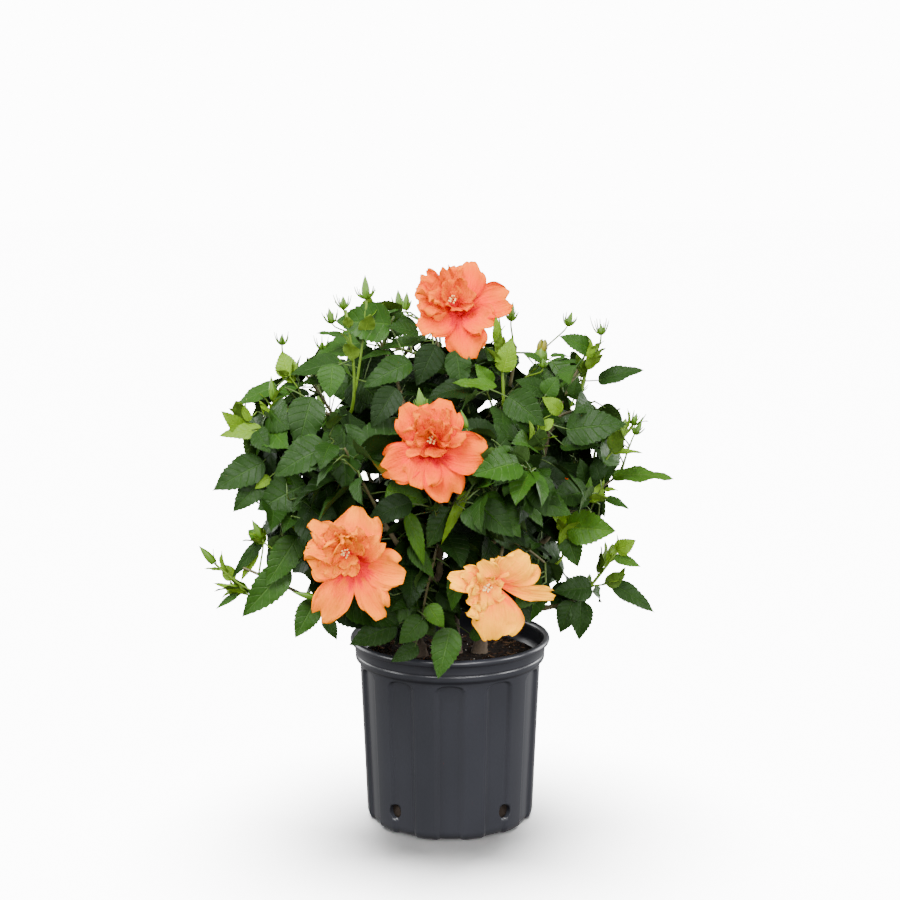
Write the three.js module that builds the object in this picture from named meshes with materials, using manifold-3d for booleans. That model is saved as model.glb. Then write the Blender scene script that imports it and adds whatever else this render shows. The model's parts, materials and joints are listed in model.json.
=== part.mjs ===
// A potted hibiscus shrub in bloom: a ribbed nursery pot, its soil, woody stems and boughs,
// masses of leafy twigs and flowering shoots. Millimetres, +Z up, front towards -Y.
// The origin is the centre of the pot's flat underside.
import * as THREE from 'three';
import { mergeVertices } from 'three/addons/utils/BufferGeometryUtils.js';
import Module from 'manifold-3d';

const wasm = await Module();
wasm.setup();

const up = new THREE.Vector3(0, 0, 1);
const front = new THREE.Vector3(0, -1, 0);
const gap = 0.3;
const goldenAngle = THREE.MathUtils.degToRad(137.5);

// Pot
const potHeight = 238;
const lipRadius = 127;
const lipDepth = 7;
const bandRadius = 121;
const bandDepth = 9;
const bodyTopRadius = 114.8;
const bodyFootRadius = 106.3;
const bodyTopHeight = 203;
const wall = 1.8;
const fluteDepth = 1.8;
const fluteFoot = 4;
const fluteTop = 200;
const potSegments = 66;
const stepsPerFlute = 3;
const liningSegments = 36;
const floorThickness = 3;
const drainHeight = 30;
const drainWidth = 15;
const drainTall = 18;
const drainAzimuths = [-40.5, 40.5, 139.5, 220.5];

// Soil
const soilTop = 213;
const soilShoulder = 208;
const soilFlatRadius = 78;

// Crown
const crownCentre = new THREE.Vector3(0, 0, 455);
const crownRadii = new THREE.Vector3(276, 262, 246);

// Leaves and twigs
const leafLength = 82;
const leafWidthShare = 0.68;
const leafKeelShare = 0.024;
const petioleLength = 20;
const twigRadius = 1.7;
const stalkRadius = 1.1;
const massStemRadius = 2.3;
const mostLeaves = 12;
const stemLeafShares = [0.5, 0.66, 0.82, 0.97];
const twigLeafShares = [0.5, 0.75, 0.97];
const massReach = 118;

// Flare at a stem's foot: how much wider, and how soon that is gone
const flare = 5;
const flareFade = 14;

// Woody stems: foot on the soil, top, radius at each end
const stems = {
  stem_left: { foot: [-38, -14], top: [-78, -26, 322], radii: [7.6, 5.2] },
  stem_front: { foot: [-6, -44], top: [-14, -84, 338], radii: [7.0, 4.8] },
  stem_right: { foot: [38, 4], top: [80, -6, 336], radii: [7.6, 5.2] },
  stem_back: { foot: [-2, 42], top: [4, 86, 345], radii: [7.4, 5.0] },
  stem_centre: { foot: [4, 0], top: [2, 4, 430], radii: [8.2, 5.2] },
};

// Boughs: the stem each grows from, how far up it, and the tip
const boughs = {
  bough_low_left: { on: 'stem_left', at: 0.42, tip: [-168, -70, 300], radii: [5.6, 3.4] },
  bough_left: { on: 'stem_left', at: 0.96, tip: [-150, -42, 405], radii: [4.4, 2.8] },
  bough_left_upper: { on: 'stem_left', at: 0.84, tip: [-128, -22, 500], radii: [4.4, 2.8] },
  bough_front_left: { on: 'stem_front', at: 0.88, tip: [-80, -122, 412], radii: [4.2, 2.8] },
  bough_front: { on: 'stem_front', at: 0.97, tip: [-10, -120, 400], radii: [4.2, 2.8] },
  bough_front_right: { on: 'stem_front', at: 0.72, tip: [62, -116, 402], radii: [4.2, 2.8] },
  bough_low_right: { on: 'stem_right', at: 0.5, tip: [128, -62, 290], radii: [5.0, 3.0] },
  bough_right: { on: 'stem_right', at: 0.95, tip: [142, -38, 400], radii: [4.4, 2.8] },
  bough_right_upper: { on: 'stem_right', at: 0.82, tip: [122, -14, 500], radii: [4.4, 2.8] },
  bough_back_left: { on: 'stem_back', at: 0.84, tip: [-98, 118, 402], radii: [4.4, 2.8] },
  bough_back: { on: 'stem_back', at: 0.97, tip: [6, 138, 428], radii: [4.2, 2.8] },
  bough_back_right: { on: 'stem_back', at: 0.72, tip: [106, 112, 405], radii: [4.4, 2.8] },
  bough_top_left: { on: 'stem_centre', at: 0.84, tip: [-62, -14, 552], radii: [4.4, 2.8] },
  bough_top: { on: 'stem_centre', at: 0.97, tip: [4, -14, 548], radii: [4.4, 2.8] },
  bough_top_right: { on: 'stem_centre', at: 0.76, tip: [72, 2, 545], radii: [4.4, 2.8] },
  bough_top_back: { on: 'stem_centre', at: 0.68, tip: [4, 72, 535], radii: [4.4, 2.8] },
};

// Flowering shoots: the bough, the middle of the bloom, the way it faces, width, turn
const blooms = {
  bloom_top: { on: 'bough_top', at: [13, -58, 667], faces: [0.05, -0.9, 0.42],
    width: 118, turn: 8 },
  bloom_middle: { on: 'bough_front', at: [-17, -200, 512], faces: [-0.05, -0.97, 0.22],
    width: 114, turn: -6 },
  bloom_low_left: { on: 'bough_front_left', at: [-108, -190, 374], faces: [-0.1, -0.98, 0.1],
    width: 122, turn: 20 },
  bloom_low_right: { on: 'bough_front_right', at: [64, -190, 343], faces: [0.62, -0.74, -0.26],
    width: 112, turn: 30 },
  bloom_back_left: { on: 'bough_back_left', at: [-96, 222, 520], faces: [-0.3, 0.92, 0.25],
    width: 114, turn: 12 },
  bloom_back_right: { on: 'bough_back_right', at: [122, 206, 398], faces: [0.4, 0.9, 0.1],
    width: 114, turn: -20 },
};

// Foliage masses: the bough, the stem's tip, the twigs' length, the number of twigs, and
// the tips of the leaves that reach furthest
const masses = {
  leaves_low_left: { on: 'bough_low_left', tip: [-300, -60, 358], span: 50, twigs: 4,
    far: [[-250, -86, 292], [-262, -66, 372]] },
  leaves_rim_left: { on: 'bough_low_left', tip: [-150, -118, 312], span: 52, twigs: 4,
    far: [[-186, -112, 262], [-118, -122, 254]] },
  leaves_left: { on: 'bough_left', tip: [-216, -84, 388], span: 72, twigs: 5,
    far: [[-250, -90, 298], [-204, -98, 290]] },
  leaves_left_middle: { on: 'bough_left', tip: [-232, -48, 462], span: 64, twigs: 5,
    far: [[-292, -60, 441]] },
  leaves_left_upper: { on: 'bough_left_upper', tip: [-240, -36, 520], span: 62, twigs: 5,
    far: [[-286, -44, 508]] },
  leaves_left_top: { on: 'bough_left_upper', tip: [-200, -20, 604], span: 62, twigs: 5,
    far: [[-256, -36, 548], [-150, 10, 628]] },
  leaves_front_left: { on: 'bough_front_left', tip: [-124, -152, 506], span: 66, twigs: 4,
    far: [[-128, -192, 446]] },
  leaves_front_low: { on: 'bough_front_left', tip: [-178, -104, 352], span: 60, twigs: 4, far: [] },
  leaves_front: { on: 'bough_front', tip: [10, -166, 452], span: 56, twigs: 4, far: [] },
  leaves_rim_front: { on: 'bough_front', tip: [-34, -118, 292], span: 48, twigs: 4,
    far: [[-14, -140, 220], [-58, -128, 246]] },
  leaves_front_right: { on: 'bough_front_right', tip: [80, -150, 486], span: 64, twigs: 4, far: [] },
  leaves_rim_right: { on: 'bough_front_right', tip: [122, -112, 350], span: 56, twigs: 4, far: [] },
  leaves_low_right: { on: 'bough_low_right', tip: [206, -56, 318], span: 54, twigs: 4,
    far: [[254, -60, 284], [160, -84, 258], [196, -66, 258]] },
  leaves_right: { on: 'bough_right', tip: [196, -62, 392], span: 64, twigs: 5,
    far: [[226, -44, 366]] },
  leaves_right_middle: { on: 'bough_right', tip: [222, -30, 458], span: 62, twigs: 5,
    far: [[280, -20, 445], [214, -62, 420]] },
  leaves_right_upper: { on: 'bough_right_upper', tip: [226, -32, 524], span: 64, twigs: 5,
    far: [[222, -76, 512]] },
  leaves_right_top: { on: 'bough_right_upper', tip: [184, 0, 628], span: 60, twigs: 5,
    far: [[240, -20, 572]] },
  leaves_back_left_low: { on: 'bough_back_left', tip: [-158, 108, 330], span: 64, twigs: 4, far: [] },
  leaves_back_left_side: { on: 'bough_back_left', tip: [-200, 92, 448], span: 66, twigs: 5, far: [] },
  leaves_back_left: { on: 'bough_back_left', tip: [-96, 190, 442], span: 66, twigs: 5, far: [] },
  leaves_back: { on: 'bough_back', tip: [8, 212, 492], span: 66, twigs: 5, far: [] },
  leaves_back_low: { on: 'bough_back', tip: [4, 168, 318], span: 64, twigs: 4, far: [] },
  leaves_back_right: { on: 'bough_back_right', tip: [96, 186, 456], span: 66, twigs: 5, far: [] },
  leaves_back_right_side: { on: 'bough_back_right', tip: [200, 92, 452], span: 66, twigs: 5, far: [] },
  leaves_back_right_low: { on: 'bough_back_right', tip: [158, 104, 330], span: 64, twigs: 4, far: [] },
  leaves_top_left: { on: 'bough_top_left', tip: [-108, -42, 658], span: 60, twigs: 5,
    far: [[-132, -62, 640]] },
  leaves_top: { on: 'bough_top', tip: [-30, 4, 652], span: 58, twigs: 5, far: [] },
  leaves_top_right: { on: 'bough_top_right', tip: [84, -8, 640], span: 60, twigs: 5, far: [] },
  leaves_top_back_left: { on: 'bough_top_back', tip: [-96, 118, 594], span: 66, twigs: 5, far: [] },
  leaves_top_back_right: { on: 'bough_top_back', tip: [100, 112, 600], span: 66, twigs: 5, far: [] },
  leaves_middle: { on: 'stem_centre', tip: [64, -60, 540], span: 84, twigs: 6, far: [] },
};

// Materials
const potPlastic = new THREE.MeshStandardMaterial({ color: 0x3e3f43, roughness: 0.42, metalness: 0 });
const darkSoil = new THREE.MeshStandardMaterial({ color: 0x2a211b, roughness: 0.95, metalness: 0 });
const bark = new THREE.MeshStandardMaterial({ color: 0x6f5f4d, roughness: 0.85, metalness: 0 });
const leafGreen = new THREE.MeshStandardMaterial({ color: 0x3c5a22, roughness: 0.45, metalness: 0 });
const petalCoral = new THREE.MeshStandardMaterial({ color: 0xf2855a, roughness: 0.6, metalness: 0 });

const shrub = new THREE.Group();

// Solids

function solidOf(geometry) {
  const bare = new THREE.BufferGeometry();
  bare.setAttribute('position', geometry.getAttribute('position').clone());
  bare.setIndex(geometry.index.clone());
  const merged = mergeVertices(bare, 1e-4);
  const points = merged.getAttribute('position');
  const faces = [];
  const corners = [new THREE.Vector3(), new THREE.Vector3(), new THREE.Vector3()];
  let volume = 0;
  for (let i = 0; i < merged.index.count; i += 3) {
    const face = [0, 1, 2].map((k) => merged.index.getX(i + k));
    if (new Set(face).size < 3) continue;
    face.forEach((index, k) => corners[k].fromBufferAttribute(points, index));
    volume += corners[0].dot(corners[1].clone().cross(corners[2]));
    faces.push(face);
  }
  const outward = volume > 0 ? faces : faces.map(([a, b, c]) => [a, c, b]);
  return new wasm.Manifold(new wasm.Mesh({
    numProp: 3,
    vertProperties: new Float32Array(points.array),
    triVerts: new Uint32Array(outward.flat()),
  }));
}

function joined(solids) {
  return wasm.Manifold.union(solids);
}

function boxesMeet(a, b) {
  return [0, 1, 2].every((k) => a.min[k] < b.max[k] && b.min[k] < a.max[k]);
}

function touches(solid, others) {
  const box = solid.boundingBox();
  return others.some((other) => boxesMeet(box, other.boundingBox()) && !solid.intersect(other).isEmpty());
}

function largestBody(solid) {
  return solid.decompose().reduce((best, body) => (body.volume() > best.volume() ? body : best));
}

function addPiece(name, solid, material) {
  const mesh = solid.getMesh();
  const geometry = new THREE.BufferGeometry();
  geometry.setAttribute('position', new THREE.BufferAttribute(new Float32Array(mesh.vertProperties), 3));
  geometry.setIndex(new THREE.BufferAttribute(new Uint32Array(mesh.triVerts), 1));
  geometry.computeVertexNormals();
  const piece = new THREE.Mesh(geometry, material);
  piece.name = name;
  shrub.add(piece);
}

// A closed skin over rings that all have the same number of points, anticlockwise when
// seen from the end; a ring of one point closes to a tip.
function skinRings(rings) {
  const points = rings.flat();
  const starts = [];
  let count = 0;
  for (const ring of rings) {
    starts.push(count);
    count += ring.length;
  }
  const faces = [];
  for (let r = 0; r + 1 < rings.length; r += 1) {
    const near = rings[r].length;
    const far = rings[r + 1].length;
    const sides = Math.max(near, far);
    for (let i = 0; i < sides; i += 1) {
      const next = (i + 1) % sides;
      const a = starts[r] + (near > 1 ? i : 0);
      const b = starts[r] + (near > 1 ? next : 0);
      const c = starts[r + 1] + (far > 1 ? i : 0);
      const d = starts[r + 1] + (far > 1 ? next : 0);
      if (near > 1) faces.push(a, b, d);
      if (far > 1) faces.push(a, d, c);
    }
  }
  const last = rings.length - 1;
  for (let i = 1; i + 1 < rings[0].length; i += 1) faces.push(starts[0], starts[0] + i + 1, starts[0] + i);
  for (let i = 1; i + 1 < rings[last].length; i += 1) {
    faces.push(starts[last], starts[last] + i, starts[last] + i + 1);
  }
  const geometry = new THREE.BufferGeometry().setFromPoints(points);
  geometry.setIndex(faces);
  return solidOf(geometry);
}

function turned(profile, segments) {
  const points = profile.map(([radius, height]) => new THREE.Vector2(radius, height));
  return new THREE.LatheGeometry(points, segments).rotateX(Math.PI / 2);
}

// A tapering limb along a curve; radiusAt gives the radius for each share of its length
function limb(curve, radiusAt, steps, sides, flatFoot = false) {
  const rings = [];
  let side = new THREE.Vector3(1, 0, 0);
  for (let i = 0; i <= steps; i += 1) {
    const share = i / steps;
    const middle = curve.getPointAt(share);
    const along = flatFoot && i === 0 ? up.clone() : curve.getTangentAt(share);
    side = side.clone().addScaledVector(along, -side.dot(along)).normalize();
    const other = new THREE.Vector3().crossVectors(along, side);
    const ring = [];
    for (let k = 0; k < sides; k += 1) {
      const angle = (2 * Math.PI * k) / sides;
      const radius = radiusAt(share);
      ring.push(middle.clone().addScaledVector(side, radius * Math.cos(angle))
        .addScaledVector(other, radius * Math.sin(angle)));
    }
    rings.push(ring);
  }
  return skinRings(rings);
}

// Seeded random numbers from 0 to 1
function makeRandom(seed) {
  let state = seed;
  return () => {
    state = (state * 16807) % 2147483647;
    return state / 2147483647;
  };
}

// Pot and soil

function fluteAt(x, y) {
  const step = Math.round(((Math.atan2(y, x) + Math.PI / 2) * potSegments) / (2 * Math.PI));
  const panel = Math.floor((step + 1) / stepsPerFlute);
  return panel % 2 === 0 ? fluteDepth : 0;
}

function bodyRadius(height) {
  return bodyFootRadius + ((bodyTopRadius - bodyFootRadius) * height) / bodyTopHeight;
}

function buildPot() {
  const outside = turned([
    [0, 0],
    [bodyFootRadius - 4, 0],
    [bodyRadius(fluteFoot), fluteFoot],
    [bodyRadius(fluteTop), fluteTop],
    [bodyTopRadius, bodyTopHeight],
    [bandRadius, bodyTopHeight + 4],
    [bandRadius, potHeight - bandDepth],
    [lipRadius, potHeight - lipDepth],
    [lipRadius - 1, potHeight],
    [0, potHeight],
  ], potSegments);
  const positions = outside.getAttribute('position');
  for (let i = 0; i < positions.count; i += 1) {
    const height = positions.getZ(i);
    if (height > fluteFoot - 0.1 && height < fluteTop + 0.1) {
      const x = positions.getX(i);
      const y = positions.getY(i);
      const radius = Math.hypot(x, y);
      const share = (radius - fluteAt(x, y)) / radius;
      positions.setXY(i, x * share, y * share);
    }
  }
  const inset = fluteDepth + wall;
  const lining = solidOf(turned([
    [0, floorThickness],
    [bodyRadius(floorThickness) - inset, floorThickness],
    [bodyTopRadius - inset, bodyTopHeight],
    [bandRadius - wall, bodyTopHeight + 7],
    [bandRadius - wall, potHeight - bandDepth],
    [lipRadius - 5, potHeight + 2],
    [0, potHeight + 2],
  ], liningSegments));
  let pot = solidOf(outside).subtract(lining);
  for (const azimuth of drainAzimuths) {
    const hole = new THREE.CylinderGeometry(drainWidth / 2, drainWidth / 2, 30, 12);
    hole.scale(1, 1, drainTall / drainWidth);
    hole.translate(0, -bodyFootRadius, drainHeight);
    hole.rotateZ(THREE.MathUtils.degToRad(azimuth));
    pot = pot.subtract(solidOf(hole));
  }
  return pot;
}

function buildSoil() {
  const inset = fluteDepth + wall + gap;
  return solidOf(turned([
    [0, floorThickness + gap],
    [bodyRadius(floorThickness) - inset, floorThickness + gap],
    [bodyTopRadius - inset, bodyTopHeight],
    [bodyTopRadius - inset + 2, soilShoulder],
    [soilFlatRadius, soilTop],
    [0, soilTop],
  ], liningSegments));
}

// Woody stems and boughs, each cut clear of those before it

const curves = {};
let wood = null;

function addLimb(name, solid, clearance) {
  const cut = wood ? largestBody(solid.subtract(wood)) : solid;
  addPiece(name, cut, bark);
  wood = wood ? wood.add(clearance) : clearance;
}

function buildStems() {
  for (const [name, stem] of Object.entries(stems)) {
    const foot = new THREE.Vector3(stem.foot[0], stem.foot[1], soilTop + gap);
    const top = new THREE.Vector3(...stem.top);
    const rise = top.z - foot.z;
    const curve = new THREE.CubicBezierCurve3(
      foot,
      foot.clone().addScaledVector(up, rise * 0.3),
      top.clone().lerp(foot, 0.3).add(new THREE.Vector3(top.x * 0.06, top.y * 0.06, 0)),
      top,
    );
    const radiusAt = (share) => THREE.MathUtils.lerp(...stem.radii, share)
      + flare * Math.exp(-share * flareFade);
    const roomAt = (share) => radiusAt(share) + gap * 1.4;
    curves[name] = curve;
    addLimb(name, limb(curve, radiusAt, 6, 7, true), limb(curve, roomAt, 6, 7, true));
  }
}

function buildBoughs() {
  for (const [name, bough] of Object.entries(boughs)) {
    const from = curves[bough.on];
    const root = from.getPointAt(bough.at);
    const tip = new THREE.Vector3(...bough.tip);
    const reach = root.distanceTo(tip);
    const out = new THREE.Vector3(tip.x - root.x, tip.y - root.y, 0);
    const curve = new THREE.QuadraticBezierCurve3(
      root,
      root.clone().lerp(tip, 0.5).addScaledVector(out, 0.16).addScaledVector(up, -reach * 0.05),
      tip,
    );
    const radiusAt = (share) => THREE.MathUtils.lerp(...bough.radii, share);
    const roomAt = (share) => radiusAt(share) + gap * 1.5;
    curves[name] = curve;
    addLimb(name, limb(curve, radiusAt, 5, 5), limb(curve, roomAt, 5, 5));
  }
}

// Leaves: a pointed blade on a wedge of a stalk, with a keel below its middle line

function leafAt(root, stalk, blade, face, size) {
  const side = new THREE.Vector3().crossVectors(blade, face).normalize();
  const above = new THREE.Vector3().crossVectors(side, blade).normalize();
  const length = leafLength * size;
  const keel = length * leafKeelShare;
  const stalkEnd = root.clone().addScaledVector(stalk, petioleLength * size);
  const section = (share, halfWidth, sag, depth) => {
    const middle = stalkEnd.clone().addScaledVector(blade, length * share)
      .addScaledVector(above, -length * sag);
    return [
      middle.clone().addScaledVector(side, length * halfWidth),
      middle.clone().addScaledVector(side, -length * halfWidth),
      middle.clone().addScaledVector(above, -depth),
    ];
  };
  return skinRings([
    [root],
    section(0.3, leafWidthShare / 2, 0, keel),
    section(0.7, leafWidthShare * 0.29, 0.03, keel * 0.8),
    [section(0.99, 0, 0.11, 0)[0]],
  ]);
}

// A leaf whose tip is given, hung from a point
function leafTo(root, tip) {
  const reach = tip.clone().sub(root);
  const size = Math.min(reach.length() / (leafLength + petioleLength), 1.1);
  const blade = reach.clone().normalize();
  const face = mixed([up, 0.7], [front, 0.8]);
  const start = tip.clone().addScaledVector(blade, -leafLength * size);
  const leaf = leafAt(start, blade, blade, face, size);
  return { leaf, start };
}

function outwardFrom(point) {
  return point.clone().sub(crownCentre).normalize();
}

function around(along, angle) {
  const side = new THREE.Vector3(along.y, -along.x, 0.001).normalize();
  const other = new THREE.Vector3().crossVectors(along, side).normalize();
  return side.multiplyScalar(Math.cos(angle)).addScaledVector(other, Math.sin(angle));
}

function mixed(...pairs) {
  const sum = new THREE.Vector3();
  for (const [vector, weight] of pairs) sum.addScaledVector(vector, weight);
  return sum.normalize();
}

// Foliage masses: each keeps to its own cell of the crown. A leaf that doesn't fit is swung
// round its twig and made smaller.

const leafTries = [[0, 1], [1, 0.94], [-1, 0.94], [2.1, 0.86], [-2.1, 0.8], [3.1, 0.74]];
const onBough = {};

function shootCurve(shoot, tip) {
  const bough = curves[shoot.on];
  const place = onBough[shoot.on] ?? 0;
  onBough[shoot.on] = place + 1;
  const share = place === 0 ? 1 : 1 - 0.05 * place;
  const along = bough.getTangentAt(share);
  const foot = bough.getPointAt(share);
  if (place === 0) foot.addScaledVector(along, gap);
  const reach = foot.distanceTo(tip);
  const lead = place === 0 ? along : mixed([along, 0.4], [tip.clone().sub(foot).normalize(), 1]);
  return new THREE.QuadraticBezierCurve3(foot, foot.clone().addScaledVector(lead, reach * 0.4), tip);
}

function insideCell(solid, cell) {
  const { vertProperties } = solid.getMesh();
  const point = new THREE.Vector3();
  for (let i = 0; i < vertProperties.length; i += 3) {
    point.set(vertProperties[i], vertProperties[i + 1], vertProperties[i + 2]);
    const own = point.distanceToSquared(cell.centre);
    if (own > massReach * massReach) return false;
    if (point.clone().sub(crownCentre).divide(crownRadii).length() > 1) return false;
    for (const other of cell.others) {
      const lead = point.distanceToSquared(other) - own;
      if (lead < 2 * gap * cell.centre.distanceTo(other)) return false;
    }
  }
  return true;
}

function fits(solid, cell) {
  return insideCell(solid, cell) && solid.intersect(cell.keepClear).isEmpty();
}

function placeLeaf(root, along, turn, roll, size, cell, neighbours) {
  const outward = outwardFrom(root);
  for (const [swing, scale] of leafTries) {
    const radial = around(along, turn + swing);
    const stalk = mixed([radial, 0.9], [along, 0.4], [outward, 0.2], [up, 0.15]);
    const blade = mixed([stalk, 0.7], [radial, 0.3], [outward, 0.2], [up, -0.65]);
    const side = new THREE.Vector3().crossVectors(blade, up).normalize();
    const face = mixed([up, 0.6], [outward, 0.5], [radial, 0.3], [side, roll]);
    const leaf = leafAt(root, stalk, blade, face, size * scale);
    if (fits(leaf, cell) && !touches(leaf, neighbours)) return leaf;
  }
  return null;
}

function growMass(mass, stem, cell, far, seed) {
  const random = makeRandom(seed);
  const twigs = [];
  const spots = [];
  for (const share of stemLeafShares) {
    spots.push({ root: stem.getPointAt(share), along: stem.getTangentAt(share), twig: -1 });
  }
  for (let i = 0; i < mass.twigs; i += 1) {
    const share = 0.32 + (0.62 * (i + 0.5)) / mass.twigs;
    const root = stem.getPointAt(share);
    const along = stem.getTangentAt(share);
    const outward = outwardFrom(root);
    const radial = around(along, goldenAngle * i + random() * 1.5);
    const heading = mixed([along, 0.5], [radial, 1], [outward, 0.3], [up, 0.2]);
    const length = mass.span * (1.1 - 0.4 * share) * (0.85 + 0.3 * random());
    for (const scale of [1, 0.7, 0.45]) {
      const tip = root.clone().addScaledVector(heading, length * scale)
        .addScaledVector(up, length * scale * 0.1);
      const curve = new THREE.LineCurve3(root, tip);
      const twig = limb(curve, (s) => twigRadius * (1 - 0.45 * s), 1, 3);
      if (fits(twig, cell)) {
        for (const s of twigLeafShares) {
          spots.push({ root: curve.getPointAt(s), along: heading, twig: twigs.length });
        }
        twigs.push(twig);
        break;
      }
    }
  }
  const leaves = [];
  spots.forEach(({ root, along, twig }, i) => {
    if (leaves.length === mostLeaves) return;
    const size = 0.82 + 0.3 * random();
    const neighbours = [...far, ...leaves, ...twigs.filter((other, k) => k !== twig)];
    const turn = goldenAngle * i + random() * 0.6;
    const roll = 2.6 * (random() - 0.5);
    const leaf = placeLeaf(root, along, turn, roll, size, cell, neighbours);
    if (leaf) leaves.push(leaf);
  });
  return [...twigs, ...leaves];
}

// The leaves that reach furthest, each hung from the nearest stretch of its mass's stem
function farLeaves(mass, stem, keepClear) {
  const pieces = [];
  for (const place of mass.far) {
    const tip = new THREE.Vector3(...place);
    let root = stem.getPointAt(1);
    for (let share = 0.3; share < 1; share += 0.1) {
      const point = stem.getPointAt(share);
      if (point.distanceTo(tip) < root.distanceTo(tip) - 6) root = point;
    }
    const { leaf, start } = leafTo(root, tip);
    const line = new THREE.LineCurve3(root, start.clone().lerp(tip, 0.2));
    const stalk = limb(line, () => stalkRadius, 1, 3);
    const grown = start.distanceTo(root) > 1 ? leaf.add(stalk) : leaf;
    if (grown.intersect(keepClear).isEmpty() && !touches(grown, pieces)) pieces.push(grown);
  }
  return pieces;
}

function buildMasses() {
  const grown = {};
  let taken = wood;
  for (const [name, mass] of Object.entries(masses)) {
    const curve = shootCurve(mass, new THREE.Vector3(...mass.tip));
    const radiusAt = (share) => massStemRadius - 1.1 * share;
    const roomAt = (share) => radiusAt(share) * 1.2 + gap * 2;
    const stem = largestBody(limb(curve, radiusAt, 5, 3).subtract(taken));
    const room = limb(curve, roomAt, 5, 4);
    taken = taken.add(room);
    grown[name] = { curve, stem, room, centre: curve.getPointAt(0.75), far: [] };
  }
  const othersOf = (name) => Object.entries(grown)
    .filter(([other]) => other !== name)
    .map(([, found]) => found);
  for (const [name, mass] of Object.entries(masses)) {
    const others = othersOf(name);
    const rooms = others.map(({ room }) => room);
    const keepClear = joined([wood, ...rooms, ...others.flatMap(({ far }) => far)]);
    grown[name].far = farLeaves(mass, grown[name].curve, keepClear);
  }
  Object.entries(masses).forEach(([name, mass], index) => {
    const { curve, stem, centre, far } = grown[name];
    const others = othersOf(name);
    const cell = {
      centre,
      others: others.map((other) => other.centre),
      keepClear: joined([wood, ...others.map(({ room }) => room), ...others.flatMap((other) => other.far)]),
    };
    const pieces = growMass(mass, curve, cell, far, 4001 + 77 * index);
    addPiece(name, largestBody(joined([stem, ...far, ...pieces])), leafGreen);
  });
}

// Flowering shoots: a stalk, a calyx, five broad petals and the ruffled ones inside them

function petalAt(base, out, facing, size, lifts, widths) {
  const side = new THREE.Vector3().crossVectors(out, facing).normalize();
  const rings = [];
  const middle = base.clone();
  widths.forEach((halfWidth, i) => {
    const lift = THREE.MathUtils.lerp(lifts[0], lifts[1], i / (widths.length - 1));
    const along = out.clone().multiplyScalar(Math.cos(lift)).addScaledVector(facing, Math.sin(lift));
    const above = new THREE.Vector3().crossVectors(side, along).normalize();
    if (i > 0) middle.addScaledVector(along, size / (widths.length - 1));
    rings.push([
      middle.clone().addScaledVector(side, size * halfWidth),
      middle.clone().addScaledVector(side, -size * halfWidth),
      middle.clone().addScaledVector(above, -1.8),
    ]);
  });
  return skinRings(rings);
}

const bloomPetals = [
  { count: 5, size: 0.48, rootRadius: 6, lifts: [0.5, -0.15], start: 0, widths: [0.05, 0.36, 0.14] },
  { count: 3, size: 0.3, rootRadius: 3, lifts: [1.25, 0.7], start: 0.5, widths: [0.06, 0.34, 0.24] },
];

function buildBlooms() {
  for (const [name, bloom] of Object.entries(blooms)) {
    const middle = new THREE.Vector3(...bloom.at);
    const facing = new THREE.Vector3(...bloom.faces).normalize();
    const base = middle.clone().addScaledVector(facing, -bloom.width * 0.2);
    const curve = shootCurve(bloom, base);
    const stalk = limb(curve, (share) => 2.2 + 0.4 * share, 5, 3);
    const cup = new THREE.LineCurve3(
      base.clone().addScaledVector(facing, -9),
      base.clone().addScaledVector(facing, 6),
    );
    const calyx = limb(cup, (share) => 4 + 6 * share, 1, 5);
    const pieces = [calyx];
    for (const row of bloomPetals) {
      for (let k = 0; k < row.count; k += 1) {
        const angle = THREE.MathUtils.degToRad(bloom.turn)
          + (2 * Math.PI * (k + row.start)) / row.count;
        const out = around(facing, angle);
        const root = base.clone().addScaledVector(out, row.rootRadius).addScaledVector(facing, 2);
        pieces.push(petalAt(root, out, facing, bloom.width * row.size, row.lifts, row.widths));
      }
    }
    const shoot = largestBody(joined([largestBody(stalk.subtract(wood)), ...pieces]));
    addPiece(name, shoot, petalCoral);
    const room = new THREE.SphereGeometry(bloom.width * 0.54, 12, 8).scale(1, 1, 0.62);
    const turn = new THREE.Quaternion().setFromUnitVectors(up, facing);
    room.applyQuaternion(turn).translate(middle.x, middle.y, middle.z);
    wood = joined([wood, shoot, solidOf(room), limb(curve, (share) => 3.2 + 0.4 * share, 5, 4)]);
  }
}

// The room that the pot and its soil take, which leaves keep out of
function potRoom() {
  const margin = 2 * gap;
  return solidOf(turned([
    [0, floorThickness],
    [lipRadius - 3, floorThickness],
    [lipRadius + margin, potHeight - bandDepth],
    [lipRadius + margin, potHeight + margin],
    [lipRadius - 7, potHeight + margin],
    [lipRadius - 9, soilShoulder],
    [soilFlatRadius, soilTop + gap],
    [0, soilTop + gap],
  ], liningSegments));
}

addPiece('pot', buildPot(), potPlastic);
addPiece('soil', buildSoil(), darkSoil);
buildStems();
buildBoughs();
wood = joined([wood, potRoom()]);
buildBlooms();
buildMasses();

export default shrub;
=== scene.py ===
import json
import math

import bpy
import numpy as np
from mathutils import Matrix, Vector, noise

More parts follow.
